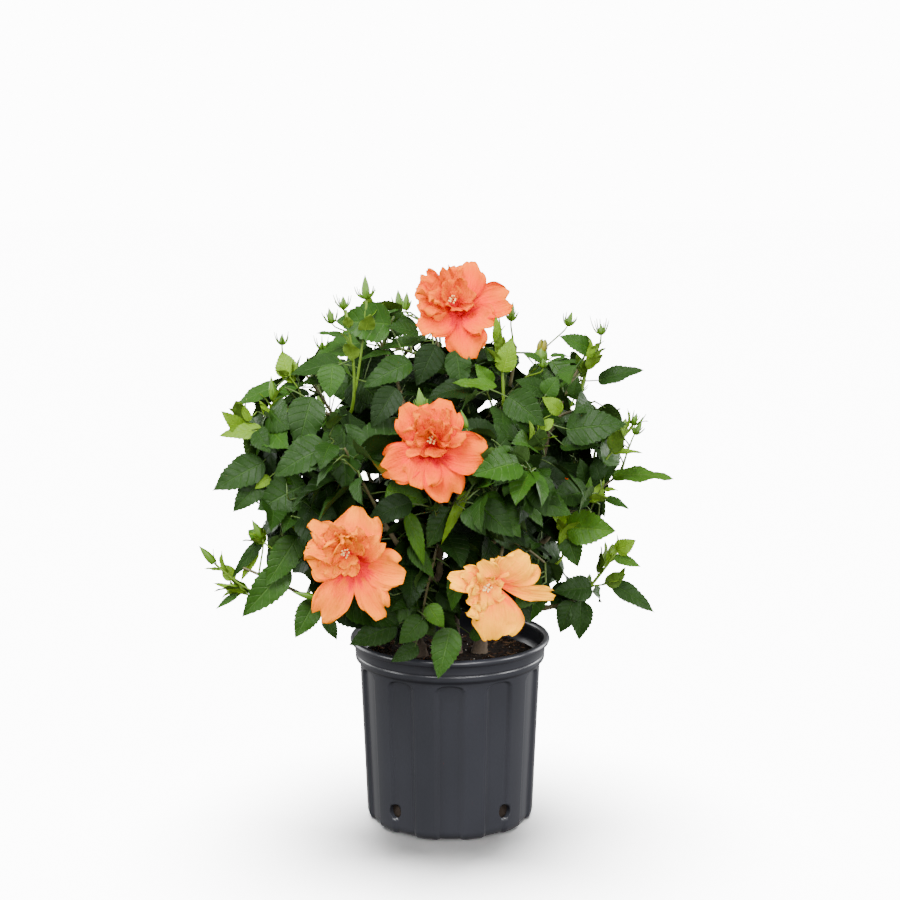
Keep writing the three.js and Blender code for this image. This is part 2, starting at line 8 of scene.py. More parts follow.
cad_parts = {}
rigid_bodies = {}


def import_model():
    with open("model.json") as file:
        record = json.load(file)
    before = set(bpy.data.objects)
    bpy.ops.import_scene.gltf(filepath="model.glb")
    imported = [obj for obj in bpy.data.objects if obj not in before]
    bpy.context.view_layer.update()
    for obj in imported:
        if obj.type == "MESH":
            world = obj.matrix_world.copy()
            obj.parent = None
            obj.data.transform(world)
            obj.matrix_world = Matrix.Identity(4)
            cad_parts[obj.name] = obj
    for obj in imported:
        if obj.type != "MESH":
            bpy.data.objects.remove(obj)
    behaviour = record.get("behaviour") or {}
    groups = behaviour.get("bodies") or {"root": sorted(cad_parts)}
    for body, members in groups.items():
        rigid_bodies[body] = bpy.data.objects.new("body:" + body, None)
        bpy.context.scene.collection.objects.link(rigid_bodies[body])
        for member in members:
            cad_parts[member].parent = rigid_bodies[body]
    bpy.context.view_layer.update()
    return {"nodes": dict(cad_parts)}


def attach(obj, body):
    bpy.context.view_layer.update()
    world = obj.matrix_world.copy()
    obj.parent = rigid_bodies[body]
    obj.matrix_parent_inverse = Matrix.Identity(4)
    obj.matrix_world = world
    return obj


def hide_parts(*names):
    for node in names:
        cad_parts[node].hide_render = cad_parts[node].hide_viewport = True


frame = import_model()
print("frame loaded:", len(frame["nodes"]), "nodes")

mm = 0.001
turnFull = 2 * math.pi
goldenAngle = math.radians(137.5)
upright = Vector((0, 0, 1))
towardsFront = Vector((0, -1, 0))
drawFactor, drawLimit = 16807, 2147483647   # a seeded row of even draws from 0 to 1
seeds = {"mix": 913, "photo": 77, "inner": 515, "buds": 4099, "petals": 331,
         "twigs": (4001, 77), "finer": (9001, 131), "leaves": (7001, 59)}   # the last three: first, step
bladeSpan, bladeFrom, bladeRise = 0.48, 0.02, 0.96   # where a leaf or petal lies in its pattern's square


# Small helpers

def seededDraw(seed):
    state = seed

    def draw():
        nonlocal state
        state = state * drawFactor % drawLimit
        return state / drawLimit

    return draw


def seededRow(kind, index):
    first, step = seeds[kind]
    return seededDraw(first + step * index)


def vary(draw, least, spread):
    return least + spread * draw()


def swing(draw, span):
    # half the span to either side of nothing
    return (draw() - 0.5) * span


def mixOf(*pairs):
    total = Vector((0, 0, 0))
    for direction, weight in pairs:
        total += direction * weight
    return total.normalized()


def blendOf(low, high, share):
    return low + (high - low) * share


def linear(red, green, blue):
    # a colour as a screen shows it, made linear for the shaders
    shares = [value / 255 for value in (red, green, blue)]
    return (*[s / 12.92 if s <= 0.04045 else ((s + 0.055) / 1.055) ** 2.4 for s in shares], 1.0)


def shadeOf(colour, factor):
    return tuple(min(1, factor * channel) for channel in colour[:3]) + (1.0,)


def inScene(name, data):
    made = bpy.data.objects.new(name, data)
    bpy.context.scene.collection.objects.link(made)
    return made


# A bin gathers triangles for one piece, in millimetres

def newBin():
    return {"points": [], "faces": [], "slots": [], "uvs": [], "count": 0}


def addTo(pile, points, faces, slot=0, uvs=None):
    points = np.asarray(points, float).reshape(-1, 3)
    faces = np.asarray(faces, np.int64).reshape(-1, 3)
    slots = np.full(len(faces), slot) if np.isscalar(slot) else np.asarray(slot)
    uvs = np.full((len(points), 2), 0.5) if uvs is None else np.asarray(uvs, float).reshape(-1, 2)
    pile["points"].append(points)
    pile["faces"].append(faces + pile["count"])
    pile["slots"].append(slots)
    pile["uvs"].append(uvs)
    pile["count"] += len(points)


def pieceFrom(name, pile, materials, replaced, smooth=True):
    points = np.concatenate(pile["points"]) * mm
    faces = np.concatenate(pile["faces"])
    mesh = bpy.data.meshes.new(name)
    mesh.vertices.add(len(points))
    mesh.vertices.foreach_set("co", points.astype(np.float32).ravel())
    mesh.loops.add(faces.size)
    mesh.loops.foreach_set("vertex_index", faces.astype(np.int32).ravel())
    mesh.polygons.add(len(faces))
    mesh.polygons.foreach_set("loop_start", np.arange(0, faces.size, 3, dtype=np.int32))
    mesh.polygons.foreach_set("material_index", np.concatenate(pile["slots"]).astype(np.int32))
    mesh.polygons.foreach_set("use_smooth", np.full(len(faces), smooth))
    layer = mesh.uv_layers.new(name="OFBake")
    layer.data.foreach_set("uv", np.concatenate(pile["uvs"])[faces.ravel()].astype(np.float32).ravel())
    mesh.update(calc_edges=True)
    mesh.validate()
    for material in materials:
        mesh.materials.append(material)
    piece = inScene(name, mesh)
    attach(piece, "root")
    if replaced:
        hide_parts(*replaced)
    print("made", name, len(faces), "triangles")
    return piece


def gridFaces(rows, columns, closed=False):
    # two triangles for each cell of a grid of points; closed joins the last column to the first
    across = columns if closed else columns - 1
    row, column = np.meshgrid(np.arange(rows - 1), np.arange(across), indexing="ij")
    a = row * columns + column
    b = row * columns + (column + 1) % columns
    c = a + columns
    d = b + columns
    return np.concatenate([np.stack([a, b, d], -1).reshape(-1, 3), np.stack([a, d, c], -1).reshape(-1, 3)])


def ringFaces(rings, sides):
    # the skin over rings of points, closed at both ends by the two points that follow them
    foot, tip, last = rings * sides, rings * sides + 1, (rings - 1) * sides
    ring = np.arange(sides)
    following = (ring + 1) % sides
    return np.concatenate([
        gridFaces(rings, sides, closed=True),
        np.stack([np.full(sides, foot), following, ring], -1),
        np.stack([np.full(sides, tip), last + ring, last + following], -1),
    ])


def ringOf(radius, sides):
    angles = [turnFull * k / sides for k in range(sides)]
    return [(radius * math.cos(angle), radius * math.sin(angle)) for angle in angles]


# A route is a smooth line with its length shared out evenly

routeSteps = 40      # how finely a route is measured
routeNudge = 0.002   # the share of it, either side of a place, that gives its direction
capShare = 0.4       # how far a tube's rounded end stands out, against its radius


def routeOf(*controls):
    controls = [Vector(point) for point in controls]

    def pointAt(t):
        points = controls
        while len(points) > 1:
            points = [a.lerp(b, t) for a, b in zip(points, points[1:])]
        return points[0]

    samples = [pointAt(i / routeSteps) for i in range(routeSteps + 1)]
    lengths = np.cumsum([0] + [(b - a).length for a, b in zip(samples, samples[1:])])
    measure = np.linspace(0, 1, routeSteps + 1)

    def at(share):
        return pointAt(float(np.interp(share * lengths[-1], lengths, measure)))

    def along(share):
        low, high = max(0, share - routeNudge), min(1, share + routeNudge)
        return (at(high) - at(low)).normalized()

    return {"at": at, "along": along, "length": float(lengths[-1])}


def addTube(pile, route, radiusAt, steps, sides, slot=0, relief=None):
    # a closed tube along a route, with a cap at each end
    side = Vector((1, 0, 0))
    points = []
    for i in range(steps + 1):
        share = i / steps
        middle = route["at"](share)
        along = route["along"](share)
        side = (side - along * side.dot(along)).normalized()
        other = along.cross(side)
        radius = radiusAt(share)
        for k in range(sides):
            angle = turnFull * k / sides
            direction = side * math.cos(angle) + other * math.sin(angle)
            grown = radius + (relief(middle, direction, share, radius) if relief else 0)
            points.append(middle + direction * grown)
    points.append(route["at"](0))
    points.append(route["at"](1) + route["along"](1) * radiusAt(1) * capShare)
    addTo(pile, [tuple(point) for point in points], ringFaces(steps + 1, sides), slot)


# Materials: each is one shader with a pattern in its colour and its bump

def newMaterial(name, roughness, values=None):
    material = bpy.data.materials.new(name)
    material.use_nodes = True
    shader = material.node_tree.nodes["Principled BSDF"]
    shader.inputs["Roughness"].default_value = roughness
    for socket, value in (values or {}).items():
        shader.inputs[socket].default_value = value
    return material, material.node_tree, shader


def addNode(tree, kind, **settings):
    node = tree.nodes.new(kind)
    for key, value in settings.items():
        setattr(node, key, value)
    return node


def feed(tree, socket, value):
    # a socket takes a fixed value, or a link from another node
    if isinstance(value, (int, float, tuple)):
        socket.default_value = value
    else:
        tree.links.new(value, socket)


def mathNode(tree, operation, *values):
    node = addNode(tree, "ShaderNodeMath", operation=operation)
    for socket, value in zip(node.inputs, values):
        feed(tree, socket, value)
    return node.outputs[0]


def clamped(tree, value):
    return mathNode(tree, "MINIMUM", mathNode(tree, "MAXIMUM", value, 0.0), 1.0)


def colourMix(tree, share, first, second):
    node = addNode(tree, "ShaderNodeMix", data_type="RGBA")
    # a colour mix has its share and its two colours at these places
    for place, value in ((0, share), (6, first), (7, second)):
        feed(tree, node.inputs[place], value)
    return node.outputs[2]


def bumpFrom(tree, shader, height, strength, distance):
    node = addNode(tree, "ShaderNodeBump")
    for name, value in (("Strength", strength), ("Distance", distance), ("Height", height)):
        feed(tree, node.inputs[name], value)
    tree.links.new(node.outputs["Normal"], shader.inputs["Normal"])


def noiseOf(tree, scale, detail=3, stretch=None, spot=None):
    spot = spot or addNode(tree, "ShaderNodeTexCoord").outputs["Object"]
    if stretch:
        mapping = addNode(tree, "ShaderNodeMapping")
        mapping.inputs["Scale"].default_value = stretch
        tree.links.new(spot, mapping.inputs["Vector"])
        spot = mapping.outputs[0]
    node = addNode(tree, "ShaderNodeTexNoise")
    for name, value in (("Scale", scale), ("Detail", detail), ("Vector", spot)):
        feed(tree, node.inputs[name], value)
    return node.outputs["Fac"]


def rampOf(tree, share, stops):
    node = addNode(tree, "ShaderNodeValToRGB")
    ramp = node.color_ramp
    while len(ramp.elements) < len(stops):
        ramp.elements.new(0.5)
    for element, (position, colour) in zip(ramp.elements, stops):
        element.position = position
        element.color = colour
    tree.links.new(share, node.inputs[0])
    return node.outputs[0]


def bladeSpot(tree):
    # a spot on a leaf or petal, its distance from the middle line and its place along that line
    spot = addNode(tree, "ShaderNodeUVMap", uv_map="OFBake").outputs[0]
    split = addNode(tree, "ShaderNodeSeparateXYZ")
    tree.links.new(spot, split.inputs[0])
    aside = mathNode(tree, "MULTIPLY_ADD", split.outputs[0], 1 / bladeSpan, -0.5 / bladeSpan)
    return spot, mathNode(tree, "ABSOLUTE", aside), split.outputs[1]


def speckled(name, look, dark, pale):
    material, tree, shader = newMaterial(name, look["roughness"], {"Specular IOR Level": look["shine"]})
    share = noiseOf(tree, *look["speckle"])
    tree.links.new(colourMix(tree, share, dark, pale), shader.inputs["Base Color"])
    bumpFrom(tree, shader, noiseOf(tree, *look["grain"]), *look["bump"])
    return material


# Camera, floor and lights

cameraLook = {"place": (0, -2.31, 0.887), "downDegrees": 10.1, "lens": 74.9, "sensor": 36, "picture": 900}


def buildCamera():
    data = bpy.data.cameras.new("camera")
    data.lens = cameraLook["lens"]
    data.sensor_width = cameraLook["sensor"]
    camera = inScene("camera", data)
    camera.location = cameraLook["place"]
    camera.rotation_euler = (math.radians(90 - cameraLook["downDegrees"]), 0, 0)
    bpy.context.scene.camera = camera


studio = {
    "floorSize": 14.0, "floorColour": (0.93, 0.93, 0.93, 1), "floorRoughness": 0.9, "floorShine": 0.1,
    "floorLight": 42, "floorLightSpread": 43, "floorLightTilt": (-12, -2.2),
    "backdrop": 12.9, "skyLight": 0.62, "groundLight": 0.27,
    "glow": 1.7, "glowFocus": 28, "glowBehind": math.radians(38),
    "lights": [
        # name, place, aims at, size, power
        ("lightTop", (-0.6, -1.15, 2.2), (0, 0, 0.45), 1.2, 90),
        ("lightLeft", (-2.2, -0.7, 1.0), (0, 0, 0.3), 1.0, 30),
        ("lightRight", (2.2, -0.6, 1.1), (0, 0, 0.4), 1.0, 46),
        ("lightFront", (0.7, -3.2, 1.5), (0, 0, 0.5), 0.9, 64),
        ("lightRimLeft", (-1.9, 1.2, 0.7), (0, 0, 0.3), 1.2, 20),
        ("lightRimRight", (1.9, 1.2, 0.7), (0, 0, 0.3), 1.2, 28),
    ],
    "pieceLights": {
        # for one piece alone: place, aims at, size, power
        "lip": ((1.3, -2.1, 1.7), (0, -0.1, 0.23), 0.35, 34),
        "bloom": ((0.1, -2.2, 0.9), (0.05, -0.1, 0.3), 0.8, 20),
        "backBloom": ((-0.1, 2.2, 0.9), (0, 0.1, 0.4), 0.8, 20),
    },
}


def newLight(name, kind, power, receivers):
    data = bpy.data.lights.new(name, kind)
    data.energy = power
    light = inScene(name, data)
    light.light_linking.receiver_collection = receivers
    return light


def areaLight(name, place, aim, width, power, receivers):
    light = newLight(name, "AREA", power, receivers)
    light.data.shape = "DISK"
    light.data.size = width
    light.location = place
    light.rotation_euler = (light.location - Vector(aim)).to_track_quat("Z", "Y").to_euler()


def receiversOf(name, lit):
    # a collection that tells a light what it falls on
    receivers = bpy.data.collections.new(name)
    receivers.objects.link(lit)
    return receivers


def buildStudio():
    size = studio["floorSize"]
    mesh = bpy.data.meshes.new("floor")
    corners = [(-size, -size, 0), (size, -size, 0), (size, size, 0), (-size, size, 0)]
    mesh.from_pydata(corners, [], [(0, 1, 2, 3)])
    floor = inScene("floor", mesh)
    material, _, shader = newMaterial("paleFloor", studio["floorRoughness"],
                                      {"Specular IOR Level": studio["floorShine"]})
    shader.inputs["Base Color"].default_value = studio["floorColour"]
    mesh.materials.append(material)
    floor.visible_diffuse = False
    floor.visible_glossy = False
    bpy.context.scene.world = softWorld()
    unlit = receiversOf("unlit", floor)
    unlit.collection_objects[0].light_linking.link_state = "EXCLUDE"
    for name, place, aim, width, power in studio["lights"]:
        areaLight(name, place, aim, width, power, unlit)
    return floor


def softWorld():
    # a white backdrop for the camera; for the plant a gentler light from above, with a glow
    # at both sides, rather behind, that the pot's flutes catch
    world = bpy.data.worlds.new("softWhite")
    world.use_nodes = True
    tree = world.node_tree
    backdrop = tree.nodes["Background"]
    backdrop.inputs[0].default_value = (1, 1, 1, 1)
    split = addNode(tree, "ShaderNodeSeparateXYZ")
    tree.links.new(addNode(tree, "ShaderNodeTexCoord").outputs["Generated"], split.inputs[0])
    across, behind, above = split.outputs
    sky, ground = studio["skyLight"], studio["groundLight"]
    light = mathNode(tree, "MULTIPLY_ADD", above, (sky - ground) / 2, (sky + ground) / 2)
    turn = studio["glowBehind"]
    sideways = mathNode(tree, "MULTIPLY", mathNode(tree, "ABSOLUTE", across), math.cos(turn))
    towards = mathNode(tree, "MULTIPLY_ADD", behind, math.sin(turn), sideways)
    glow = mathNode(tree, "POWER", mathNode(tree, "MAXIMUM", towards, 0.0), studio["glowFocus"])
    light = mathNode(tree, "MULTIPLY_ADD", glow, studio["glow"], light)
    seen = addNode(tree, "ShaderNodeLightPath").outputs["Is Camera Ray"]
    gain = mathNode(tree, "MULTIPLY", mathNode(tree, "SUBTRACT", studio["backdrop"], light), seen)
    tree.links.new(mathNode(tree, "ADD", light, gain), backdrop.inputs[1])
    return world


def lightFloor(floor):
    # a wide light for the floor alone
    light = newLight("floorLight", "SUN", studio["floorLight"], receiversOf("floorLit", floor))
    light.data.angle = math.radians(studio["floorLightSpread"])
    light.rotation_euler = [math.radians(degrees) for degrees in (*studio["floorLightTilt"], 0)]


def lightPiece(piece, kind, power=None):
    # a soft light for one piece alone
    place, aim, width, usual = studio["pieceLights"][kind]
    name = piece.name + "_light"
    areaLight(name, place, aim, width, usual if power is None else power, receiversOf(name, piece))


buildCamera()
lightFloor(buildStudio())
print("camera, floor and lights placed")


# The pot: fluted wall, rolled lip, a groove under the band, drain holes

pot = {
    "height": 238, "lipRadius": 127, "lipRoll": 4.4, "bandRadius": 121, "wall": 1.8, "floor": 3,
    "topRadius": 114.8, "footRadius": 106.3, "topHeight": 206,
    "fluteDepth": 4.0, "fluteFrom": 97, "fluteTop": 203, "flutes": 11, "fluteEdge": 2.9,
    "archRise": 6, "archFade": (1.6, 0.4),      # the flutes' rounded tops
    "segments": 528, "footRound": (8, 11),      # how far the foot is rounded, inwards and up
    "drains": (-40.5, 40.5, 139.5, 220.5), "drainHeight": 30, "drainWidth": 15, "drainTall": 18,
    "drainSides": 28, "drainReach": (-20, 12),  # its cut starts inside the wall and ends outside
    # radius and height, across the hollow underside
    "underside": ((0, 1.2), (70, 1.2), (86, 1.0), (88, 0)),
    # heights up the wall, close together where the flutes end
    "wallHeights": (12, 16, 22, 30, 40, 52, 66, 82, 98, 114, 130, 146, 160, 172, 182, 190, 194,
                    *np.arange(195.5, 204.9, 0.75)),
    # out from the top of the wall and up from it, then out from the band: its foot, the groove, its face
    "neck": ((0.5, -0.6), (1.8, 0.4)),
    "band": ((-2.4, 2.6), (-1.1, 3.6), (-0.6, 4.8), (-0.5, 6), (-0.45, 9), (-0.5, 9.8), (-1.5, 10.5),
             (-1.6, 11.4), (-0.3, 12.1), (0, 12.8), (0, 14)),
    "insideHeights": (198, 160, 110, 60, 20, 8),
}


def potRadius(height):
    return pot["footRadius"] + (pot["topRadius"] - pot["footRadius"]) * height / pot["topHeight"]


def smoothStep(low, high, values):
    share = np.clip((values - low) / (high - low), 0, 1)
    return share * share * (3 - 2 * share)


def fluteRecess(degrees, height):
    # how far the wall is pressed in: every other strip, one of them in front, with a rounded top
    period = 360 / pot["flutes"]
    offset = np.abs((degrees + period / 2) % period - period / 2)
    half = period / 4
    edge = pot["fluteEdge"]
    pressed = 1 - smoothStep(half - edge / 2, half + edge / 2, offset)
    rise, (below, beyond) = pot["archRise"], pot["archFade"]
    arch = pot["fluteTop"] - rise + rise * np.sqrt(np.clip(1 - (offset / half) ** 2, 0, 1))
    return pot["fluteDepth"] * pressed * (1 - smoothStep(arch - below, arch + beyond, height))


def potProfile():
    # radius and height from the middle of the underside up the wall, over the lip and down inside
    height, topHeight, roll = (pot[key] for key in ("height", "topHeight", "lipRoll"))
    wall, floor = pot["wall"], pot["floor"]
    foot, top, band, lip = (pot[key + "Radius"] for key in ("foot", "top", "band", "lip"))
    inwards, upwards = pot["footRound"]
    profile = [*pot["underside"], (foot - inwards - 1, 0)]
    for degrees in range(15, 91, 15):
        angle = math.radians(degrees)
        out, up = inwards * math.sin(angle), upwards * math.cos(angle)
        profile.append((potRadius(upwards) - inwards + out, upwards - up))
    profile += [(potRadius(z), z) for z in pot["wallHeights"]]
    profile += [(top + out, topHeight + up) for out, up in pot["neck"]]
    profile += [(band + out, topHeight + up) for out, up in pot["band"]]
    profile += [(band, height - 2 * roll - 1), (band + 0.8, height - 2 * roll - 0.1)]
    for degrees in range(-70, 91, 20):
        angle = math.radians(degrees)
        profile.append((lip - roll + roll * math.cos(angle), height - roll + roll * math.sin(angle)))
    profile += [(lip - 6.2, height - 1.0), (band - wall - 0.6, height - 4.5), (band - wall, height - 9)]
    profile += [(band - wall, topHeight + 11), (band - wall, topHeight + 6), (top - wall + 1, topHeight - 1)]
    inset = pot["fluteDepth"] + wall
    profile += [(potRadius(z) - inset, z) for z in pot["insideHeights"]]
    profile += [(potRadius(pot["insideHeights"][-1]) - inset - 4, floor), (60, floor), (0, floor)]
    return profile


def buildPot():
    profile = potProfile()
    segments = pot["segments"]
    degrees = np.arange(segments) * 360 / segments
    angle = np.radians(degrees)
    rows = []
    outside = True
    for radius, height in profile[1:-1]:
        if height > pot["height"] - 1:
            outside = False
        ring = np.full(segments, float(radius))
        if outside and radius > pot["fluteFrom"] and height < pot["topHeight"] - 1:
            ring -= fluteRecess(degrees, height)
        rows.append(np.stack([ring * np.sin(angle), -ring * np.cos(angle), np.full(segments, height)], -1))
    points = np.concatenate([*rows, [[0, 0, profile[0][1]], [0, 0, profile[-1][1]]]])
    pile = newBin()
    addTo(pile, points, ringFaces(len(rows), segments))
    piece = pieceFrom("fluted_pot", pile, [potMaterial()], ["pot"])
    for azimuth in pot["drains"]:
        cutDrain(piece, azimuth)
    lightPiece(piece, "lip")


def cutDrain(piece, azimuth):
    sides = pot["drainSides"]
    angle = math.radians(azimuth)
    outward = Vector((math.sin(angle), -math.cos(angle), 0))
    sideways = Vector((math.cos(angle), math.sin(angle), 0))
    points = []
    for reach in pot["drainReach"]:
        for k in range(sides):
            turn = turnFull * k / sides
            points.append(outward * (pot["footRadius"] + reach)
                          + sideways * (pot["drainWidth"] / 2 * math.cos(turn))
                          + upright * (pot["drainHeight"] + pot["drainTall"] / 2 * math.sin(turn)))
    mesh = bpy.data.meshes.new("drainCutter")
    faces = [[k, (k + 1) % sides, sides + (k + 1) % sides, sides + k] for k in range(sides)]
    faces += [list(range(sides))[::-1], list(range(sides, 2 * sides))]
    mesh.from_pydata([tuple(point * mm) for point in points], [], faces)
    mesh.update()
    cutter = inScene("drainCutter", mesh)
    modifier = piece.modifiers.new("drain", "BOOLEAN")
    modifier.operation = "DIFFERENCE"
    modifier.solver = "EXACT"
    modifier.object = cutter
    bpy.context.view_layer.objects.active = piece
    bpy.ops.object.modifier_apply(modifier="drain")
    bpy.data.objects.remove(cutter)


potFinish = {
    "dark": linear(28, 29, 33), "pale": linear(52, 53, 60), "roughness": 0.29, "roughnessSpread": 0.1,
    "cloud": 9, "cloudStretch": (1, 1, 0.5), "cloudShare": (0.8, 0.05), "grain": 300, "bump": (0.02, 0.0005),
}


def potMaterial():
    material, tree, shader = newMaterial("charcoalPlastic", potFinish["roughness"])
    cloudy = noiseOf(tree, potFinish["cloud"], 4, stretch=potFinish["cloudStretch"])
    grain = noiseOf(tree, potFinish["grain"], 2)
    share = mathNode(tree, "MULTIPLY_ADD", cloudy, *potFinish["cloudShare"])
    tree.links.new(colourMix(tree, share, potFinish["dark"], potFinish["pale"]), shader.inputs["Base Color"])
    spread = potFinish["roughnessSpread"]
    roughness = mathNode(tree, "MULTIPLY_ADD", cloudy, spread, potFinish["roughness"] - spread / 2)
    tree.links.new(roughness, shader.inputs["Roughness"])
    bumpFrom(tree, shader, grain, *potFinish["bump"])
    return material


buildPot()


# Potting mix: a rough surface with bark chips and a few pale grains

soil = {
    "top": 213, "shoulder": 208, "flatRadius": 78, "edgeRadius": 113.5, "rings": 56, "segments": 168,
    "inPot": ((108.8, 200), (104.6, 100), (101.4, 24), (94, 3.3)),   # radius and height, down in the pot
    "relief": 2.2, "coarse": (0.05, 3.1, 0.7), "fine": (0.19, 7.7, 0.5),   # scale, layer, share of the relief
    "chips": 520, "grains": 46, "strewn": 108, "chipSize": (1.6, 5.2), "grainSize": (1.2, 1.2),
}
chip = {
    # least and spread of its length, width and thickness, against its size
    "long": (0.9, 1), "wide": (0.45, 0.4), "thick": (0.25, 0.35),
    "tilt": 1.1, "roll": 0.8, "sides": 5, "wobble": (0.75, 0.4), "end": (0.8, 0.3), "standing": 0.25,
}


def soilHeight(x, y):
    radius = math.hypot(x, y)
    share = min(1, max(0, (radius - soil["flatRadius"]) / (soil["edgeRadius"] - soil["flatRadius"])))
    relief = 0
    for scale, layer, part in (soil["coarse"], soil["fine"]):
        relief += part * noise.noise(Vector((x * scale, y * scale, layer)))
    # the relief fades out where the mix meets the pot
    return blendOf(soil["top"], soil["shoulder"], share) + soil["relief"] * relief * min(1, (1.2 - share) * 2)


def buildSoil():
    pile = newBin()
    rings, segments = soil["rings"], soil["segments"]
    points = []
    for r in range(rings):
        ring = ringOf(soil["edgeRadius"] * (r + 1) / rings, segments)
        points += [(x, y, soilHeight(x, y)) for x, y in ring]
    for radius, height in soil["inPot"]:
        points += [(x, y, height) for x, y in ringOf(radius, segments)]
    points += [(0, 0, soilHeight(0, 0)), (0, 0, soil["inPot"][-1][1])]
    addTo(pile, points, ringFaces(rings + len(soil["inPot"]), segments)[:, ::-1])
    draw = seededDraw(seeds["mix"])
    for i in range(soil["chips"] + soil["grains"]):
        pale = i >= soil["chips"]
        radius = soil["strewn"] * math.sqrt(draw())
        angle = turnFull * draw()
        spot = Vector((radius * math.cos(angle), radius * math.sin(angle), 0))
        spot.z = soilHeight(spot.x, spot.y)
        least, spread = soil["grainSize" if pale else "chipSize"]
        size = least + spread * (draw() if pale else draw() ** 2)
        addChip(pile, spot, size, draw, 3 if pale else 1 + int(2 * draw()))
    pieceFrom("potting_mix", pile, soilMaterials(), ["soil"], smooth=False)


def addChip(pile, spot, size, draw, slot):
    # a lumpy little block on the surface, longer than it is thick
    long, wide, thick = (size * vary(draw, *chip[key]) for key in ("long", "wide", "thick"))
    tilt, turn = swing(draw, chip["tilt"]), turnFull * draw()
    along = Vector((math.cos(turn) * math.cos(tilt), math.sin(turn) * math.cos(tilt), math.sin(tilt)))
    across = mixOf((along.cross(upright), 1), (upright, swing(draw, chip["roll"])))
    above = along.cross(across).normalized()
    sides = chip["sides"]
    points = []
    for end in (-1, 1):
        for k in range(sides):
            angle = turnFull * (k + 0.3 * draw()) / sides
            wobble = vary(draw, *chip["wobble"])
            points.append(spot + along * (end * long / 2 * vary(draw, *chip["end"]))
                          + across * (wide / 2 * wobble * math.cos(angle))
                          + above * (thick / 2 * wobble * math.sin(angle))
                          + upright * thick * chip["standing"])
    faces = gridFaces(2, sides, closed=True).tolist()
    faces += [(0, k + 1, k) for k in range(1, sides - 1)]
    faces += [(sides, sides + k, sides + k + 1) for k in range(1, sides - 1)]
    addTo(pile, [tuple(point) for point in points], faces, slot)


mixColours = {
    "peat": (linear(27, 21, 17), linear(52, 42, 34)),
    "chipDark": (linear(38, 26, 19), linear(66, 46, 33)),
    "chipBrown": (linear(74, 54, 38), linear(112, 86, 62)),
    "grain": (linear(170, 164, 152), linear(212, 207, 196)),
}


mixFinish = {"roughness": 0.92, "shine": 0.25, "speckle": (260, 4), "grain": (520, 3), "bump": (0.5, 0.0012)}


def soilMaterials():
    return [speckled(name, mixFinish, dark, pale) for name, (dark, pale) in mixColours.items()]


buildSoil()

# Woody stems and boughs, on the frame's own lines, with the bark's relief

stems = {
    # foot in the mix, top, radius at the foot and at the top
    "stem_left": ((-38, -14), (-78, -26, 322), (7.6, 5.2)),
    "stem_front": ((-6, -44), (-14, -84, 338), (7.0, 4.8)),
    "stem_right": ((38, 4), (80, -6, 336), (7.6, 5.2)),
    "stem_back": ((-2, 42), (4, 86, 345), (7.4, 5.0)),
    "stem_centre": ((4, 0), (2, 4, 430), (8.2, 5.2)),
}
boughs = {
    # grows from, at which share of it, tip, radius at the foot and at the tip
    "bough_low_left": ("stem_left", 0.42, (-168, -70, 300), (5.6, 3.4)),
    "bough_left": ("stem_left", 0.96, (-150, -42, 405), (4.4, 2.8)),
    "bough_left_upper": ("stem_left", 0.84, (-128, -22, 500), (4.4, 2.8)),
    "bough_front_left": ("stem_front", 0.88, (-80, -122, 412), (4.2, 2.8)),
    "bough_front": ("stem_front", 0.97, (-10, -120, 400), (4.2, 2.8)),
    "bough_front_right": ("stem_front", 0.72, (62, -116, 402), (4.2, 2.8)),
    "bough_low_right": ("stem_right", 0.5, (128, -62, 290), (5.0, 3.0)),
    "bough_right": ("stem_right", 0.95, (142, -38, 400), (4.4, 2.8)),
    "bough_right_upper": ("stem_right", 0.82, (122, -14, 500), (4.4, 2.8)),
    "bough_back_left": ("stem_back", 0.84, (-98, 118, 402), (4.4, 2.8)),
    "bough_back": ("stem_back", 0.97, (6, 138, 428), (4.2, 2.8)),
    "bough_back_right": ("stem_back", 0.72, (106, 112, 405), (4.4, 2.8)),
    "bough_top_left": ("stem_centre", 0.84, (-62, -14, 552), (4.4, 2.8)),
    "bough_top": ("stem_centre", 0.97, (4, -14, 548), (4.4, 2.8)),
    "bough_top_right": ("stem_centre", 0.76, (72, 2, 545), (4.4, 2.8)),
    "bough_top_back": ("stem_centre", 0.68, (4, 72, 535), (4.4, 2.8)),
}
barkLook = {
    "relief": 0.55, "scarEvery": 24, "scarRise": 0.8, "scarWidth": 2.6, "scarRound": 0.3,
    "coarse": (0.22, 0.06, 0.8), "fine": (0.7, 0.16, 0.5),   # scale across, scale along, share of the relief
    "flareFade": 14, "bow": 0.06, "bend": 0.16, "sag": 0.05,
}
limbs = {
    "stem": {"sunk": 3.0, "flare": 5, "steps": 64, "sides": 22, "slot": 0, "seed": 0, "seedStep": 7.3},
    "bough": {"sunk": 0, "flare": 0, "steps": 44, "sides": 16, "slot": 1, "seed": 50, "seedStep": 5.9},
}
routes = {}


def barkRelief(seed, length):
    def relief(middle, direction, share, radius):
        spot = middle + direction * radius
        rough = 0
        for across, along, part in (barkLook["coarse"], barkLook["fine"]):
            rough += part * noise.noise(Vector((spot.x * across, spot.y * across, spot.z * along + seed)))
        place = share * length / barkLook["scarEvery"]
        near = math.exp(-((place % 1 - 0.5) * barkLook["scarEvery"] / barkLook["scarWidth"]) ** 2)
        facing = max(0, math.cos(math.atan2(direction.y, direction.x) - goldenAngle * int(place)))
        return barkLook["relief"] * rough + barkLook["scarRise"] * near * (barkLook["scarRound"] + facing)

    return relief


def stemRoute(foot, top):
    foot = Vector((*foot, soil["top"] + 0.3))
    top = Vector(top)
    lean = Vector((top.x * barkLook["bow"], top.y * barkLook["bow"], 0))
    return routeOf(foot, foot + upright * (top.z - foot.z) * 0.3, top.lerp(foot, 0.3) + lean, top)


